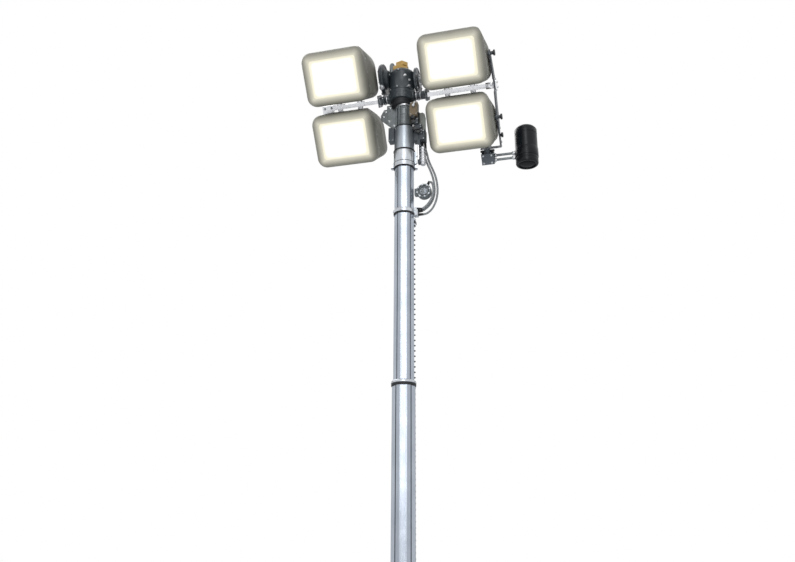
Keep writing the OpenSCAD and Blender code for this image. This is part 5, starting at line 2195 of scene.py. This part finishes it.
    def end_clamp(self) -> None:
        """The clamp round the right crossbar's end, with its outer pad."""
        clamp = block("clamp", (self.outer_x - 0.02, self.bar_y, 0), (0.034, 0.046, 0.0292), 0.003)
        pad = block("pad", (self.outer_x + self.plate_t + 0.004, self.bar_y, 0), (0.009, 0.046, 0.042), 0.0028)
        piece = smooth(joined("crossbar_end_clamp", [clamp, pad]))
        dress(put(piece, BANK), BAR, BANK_BODY)
        places = [facing((self.outer_x - 0.02 + x, self.bar_y - 0.0225, 0), FRONT) for x in (-0.009, 0.009)]
        places += [facing((self.outer_x + self.plate_t + 0.008, self.bar_y + y, z), RIGHT) for y in (-0.013, 0.013)
            for z in (-0.011, 0.011)]
        fasten("end_clamp_screws", KIT.socket_screw(0.0052), places, BANK_BODY, BANK)

    def pod(self) -> None:
        """The black sensor pod with its lens, seams and band, and the fittings of its block and arms."""
        start, end = low("sensor_pod"), high("sensor_pod")
        x, y, r = (start.x + end.x) / 2, (start.y + end.y) / 2, (end.x - start.x) / 2
        b, t = start.z, end.z
        body = put(smooth(turned("sensor_pod_body",
            [*profile([(-16.5, 7), (-12.5, 6), (-11, 0.4), (-6, 0), (-1.8, 2.2), (0, 6.5), (0, 20), (-1.4, 21.2),
            (-1.4, 23.2), (0, 24.4)], r, b),
            *profile([(0, -42), (-1.4, -40.8), (-1.4, -38.8), (0, -37.6), (0, -14), (-2, -10), (-9, -2), (-11, -0.6)],
            r, t), (0.012, t)], 96)), moved((x, y, 0)))
        dress(body, POD, BANK_BODY, ["sensor_pod"])
        lens = [*profile([(-16, 6.6), (-17, 4), (-23, 1.8)], r, b), (0.016, b + 0.0006), (0.005, b + 0.0002)]
        dress(put(smooth(turned("pod_lens", lens, 72)), moved((x, y, 0))), LENS, BANK_BODY)
        arms = middle("pod_arms").z
        band = profile([(-1, -22), (1.2, -22), (2, -20), (2, 20), (1.2, 22), (-1, 22)], r, arms)
        dress(put(smooth(turned("band", band, 96, hollow=True)), moved((x, y, 0))), POD, BANK_BODY)
        ends = []
        for z in (arms - 0.012, arms + 0.012):
            for at, length in ((x - r - 0.001, 0.014), (high("pod_block").x + 0.001, 0.01)):
                collar = turned("collar", [*profile([(6.2, 0), (9, 0), (9.6, 1)]),
                    *profile([(9.6, -1), (9, 0), (6.2, 0)], second=length)], 32, hollow=True)
                ends.append(put(collar, facing((at, y, z), (-1 if at > x - r - 0.01 else 1, 0, 0))))
        dress(smooth(joined("pod_arm_collars", ends)), STEEL, BANK_BODY)
        spots = [facing((0.373 + dx, -0.088, -0.332 + dz), FRONT) for dx in (-0.019, 0.019) for dz in (-0.017, 0.017)]
        fasten("pod_block_screws", KIT.socket_screw(0.006), spots, BANK_BODY, BANK)
        knobs = [put(KIT.knob(0.0115, 0.015), facing((0.373 + dx, -0.06, -0.3064), UP)) for dx in (-0.0225, 0.0225)]
        dress(put(joined("pod_block_knobs", knobs), BANK), BLACK_PLASTIC, BANK_BODY)


# ---- making


def main() -> None:
    """Build everything in order."""
    logging.basicConfig(level=logging.INFO, format="%(message)s")
    scene = bpy.context.scene
    scene.view_settings.view_transform = "Standard"
    studio = Studio()
    studio.place_camera()
    Cords().build()
    studio.lay_floor()
    studio.light()
    Mast().build()
    Floodlights().build()
    Head().build()
    BankFrame().build()


if __name__ == "__main__":
    main()
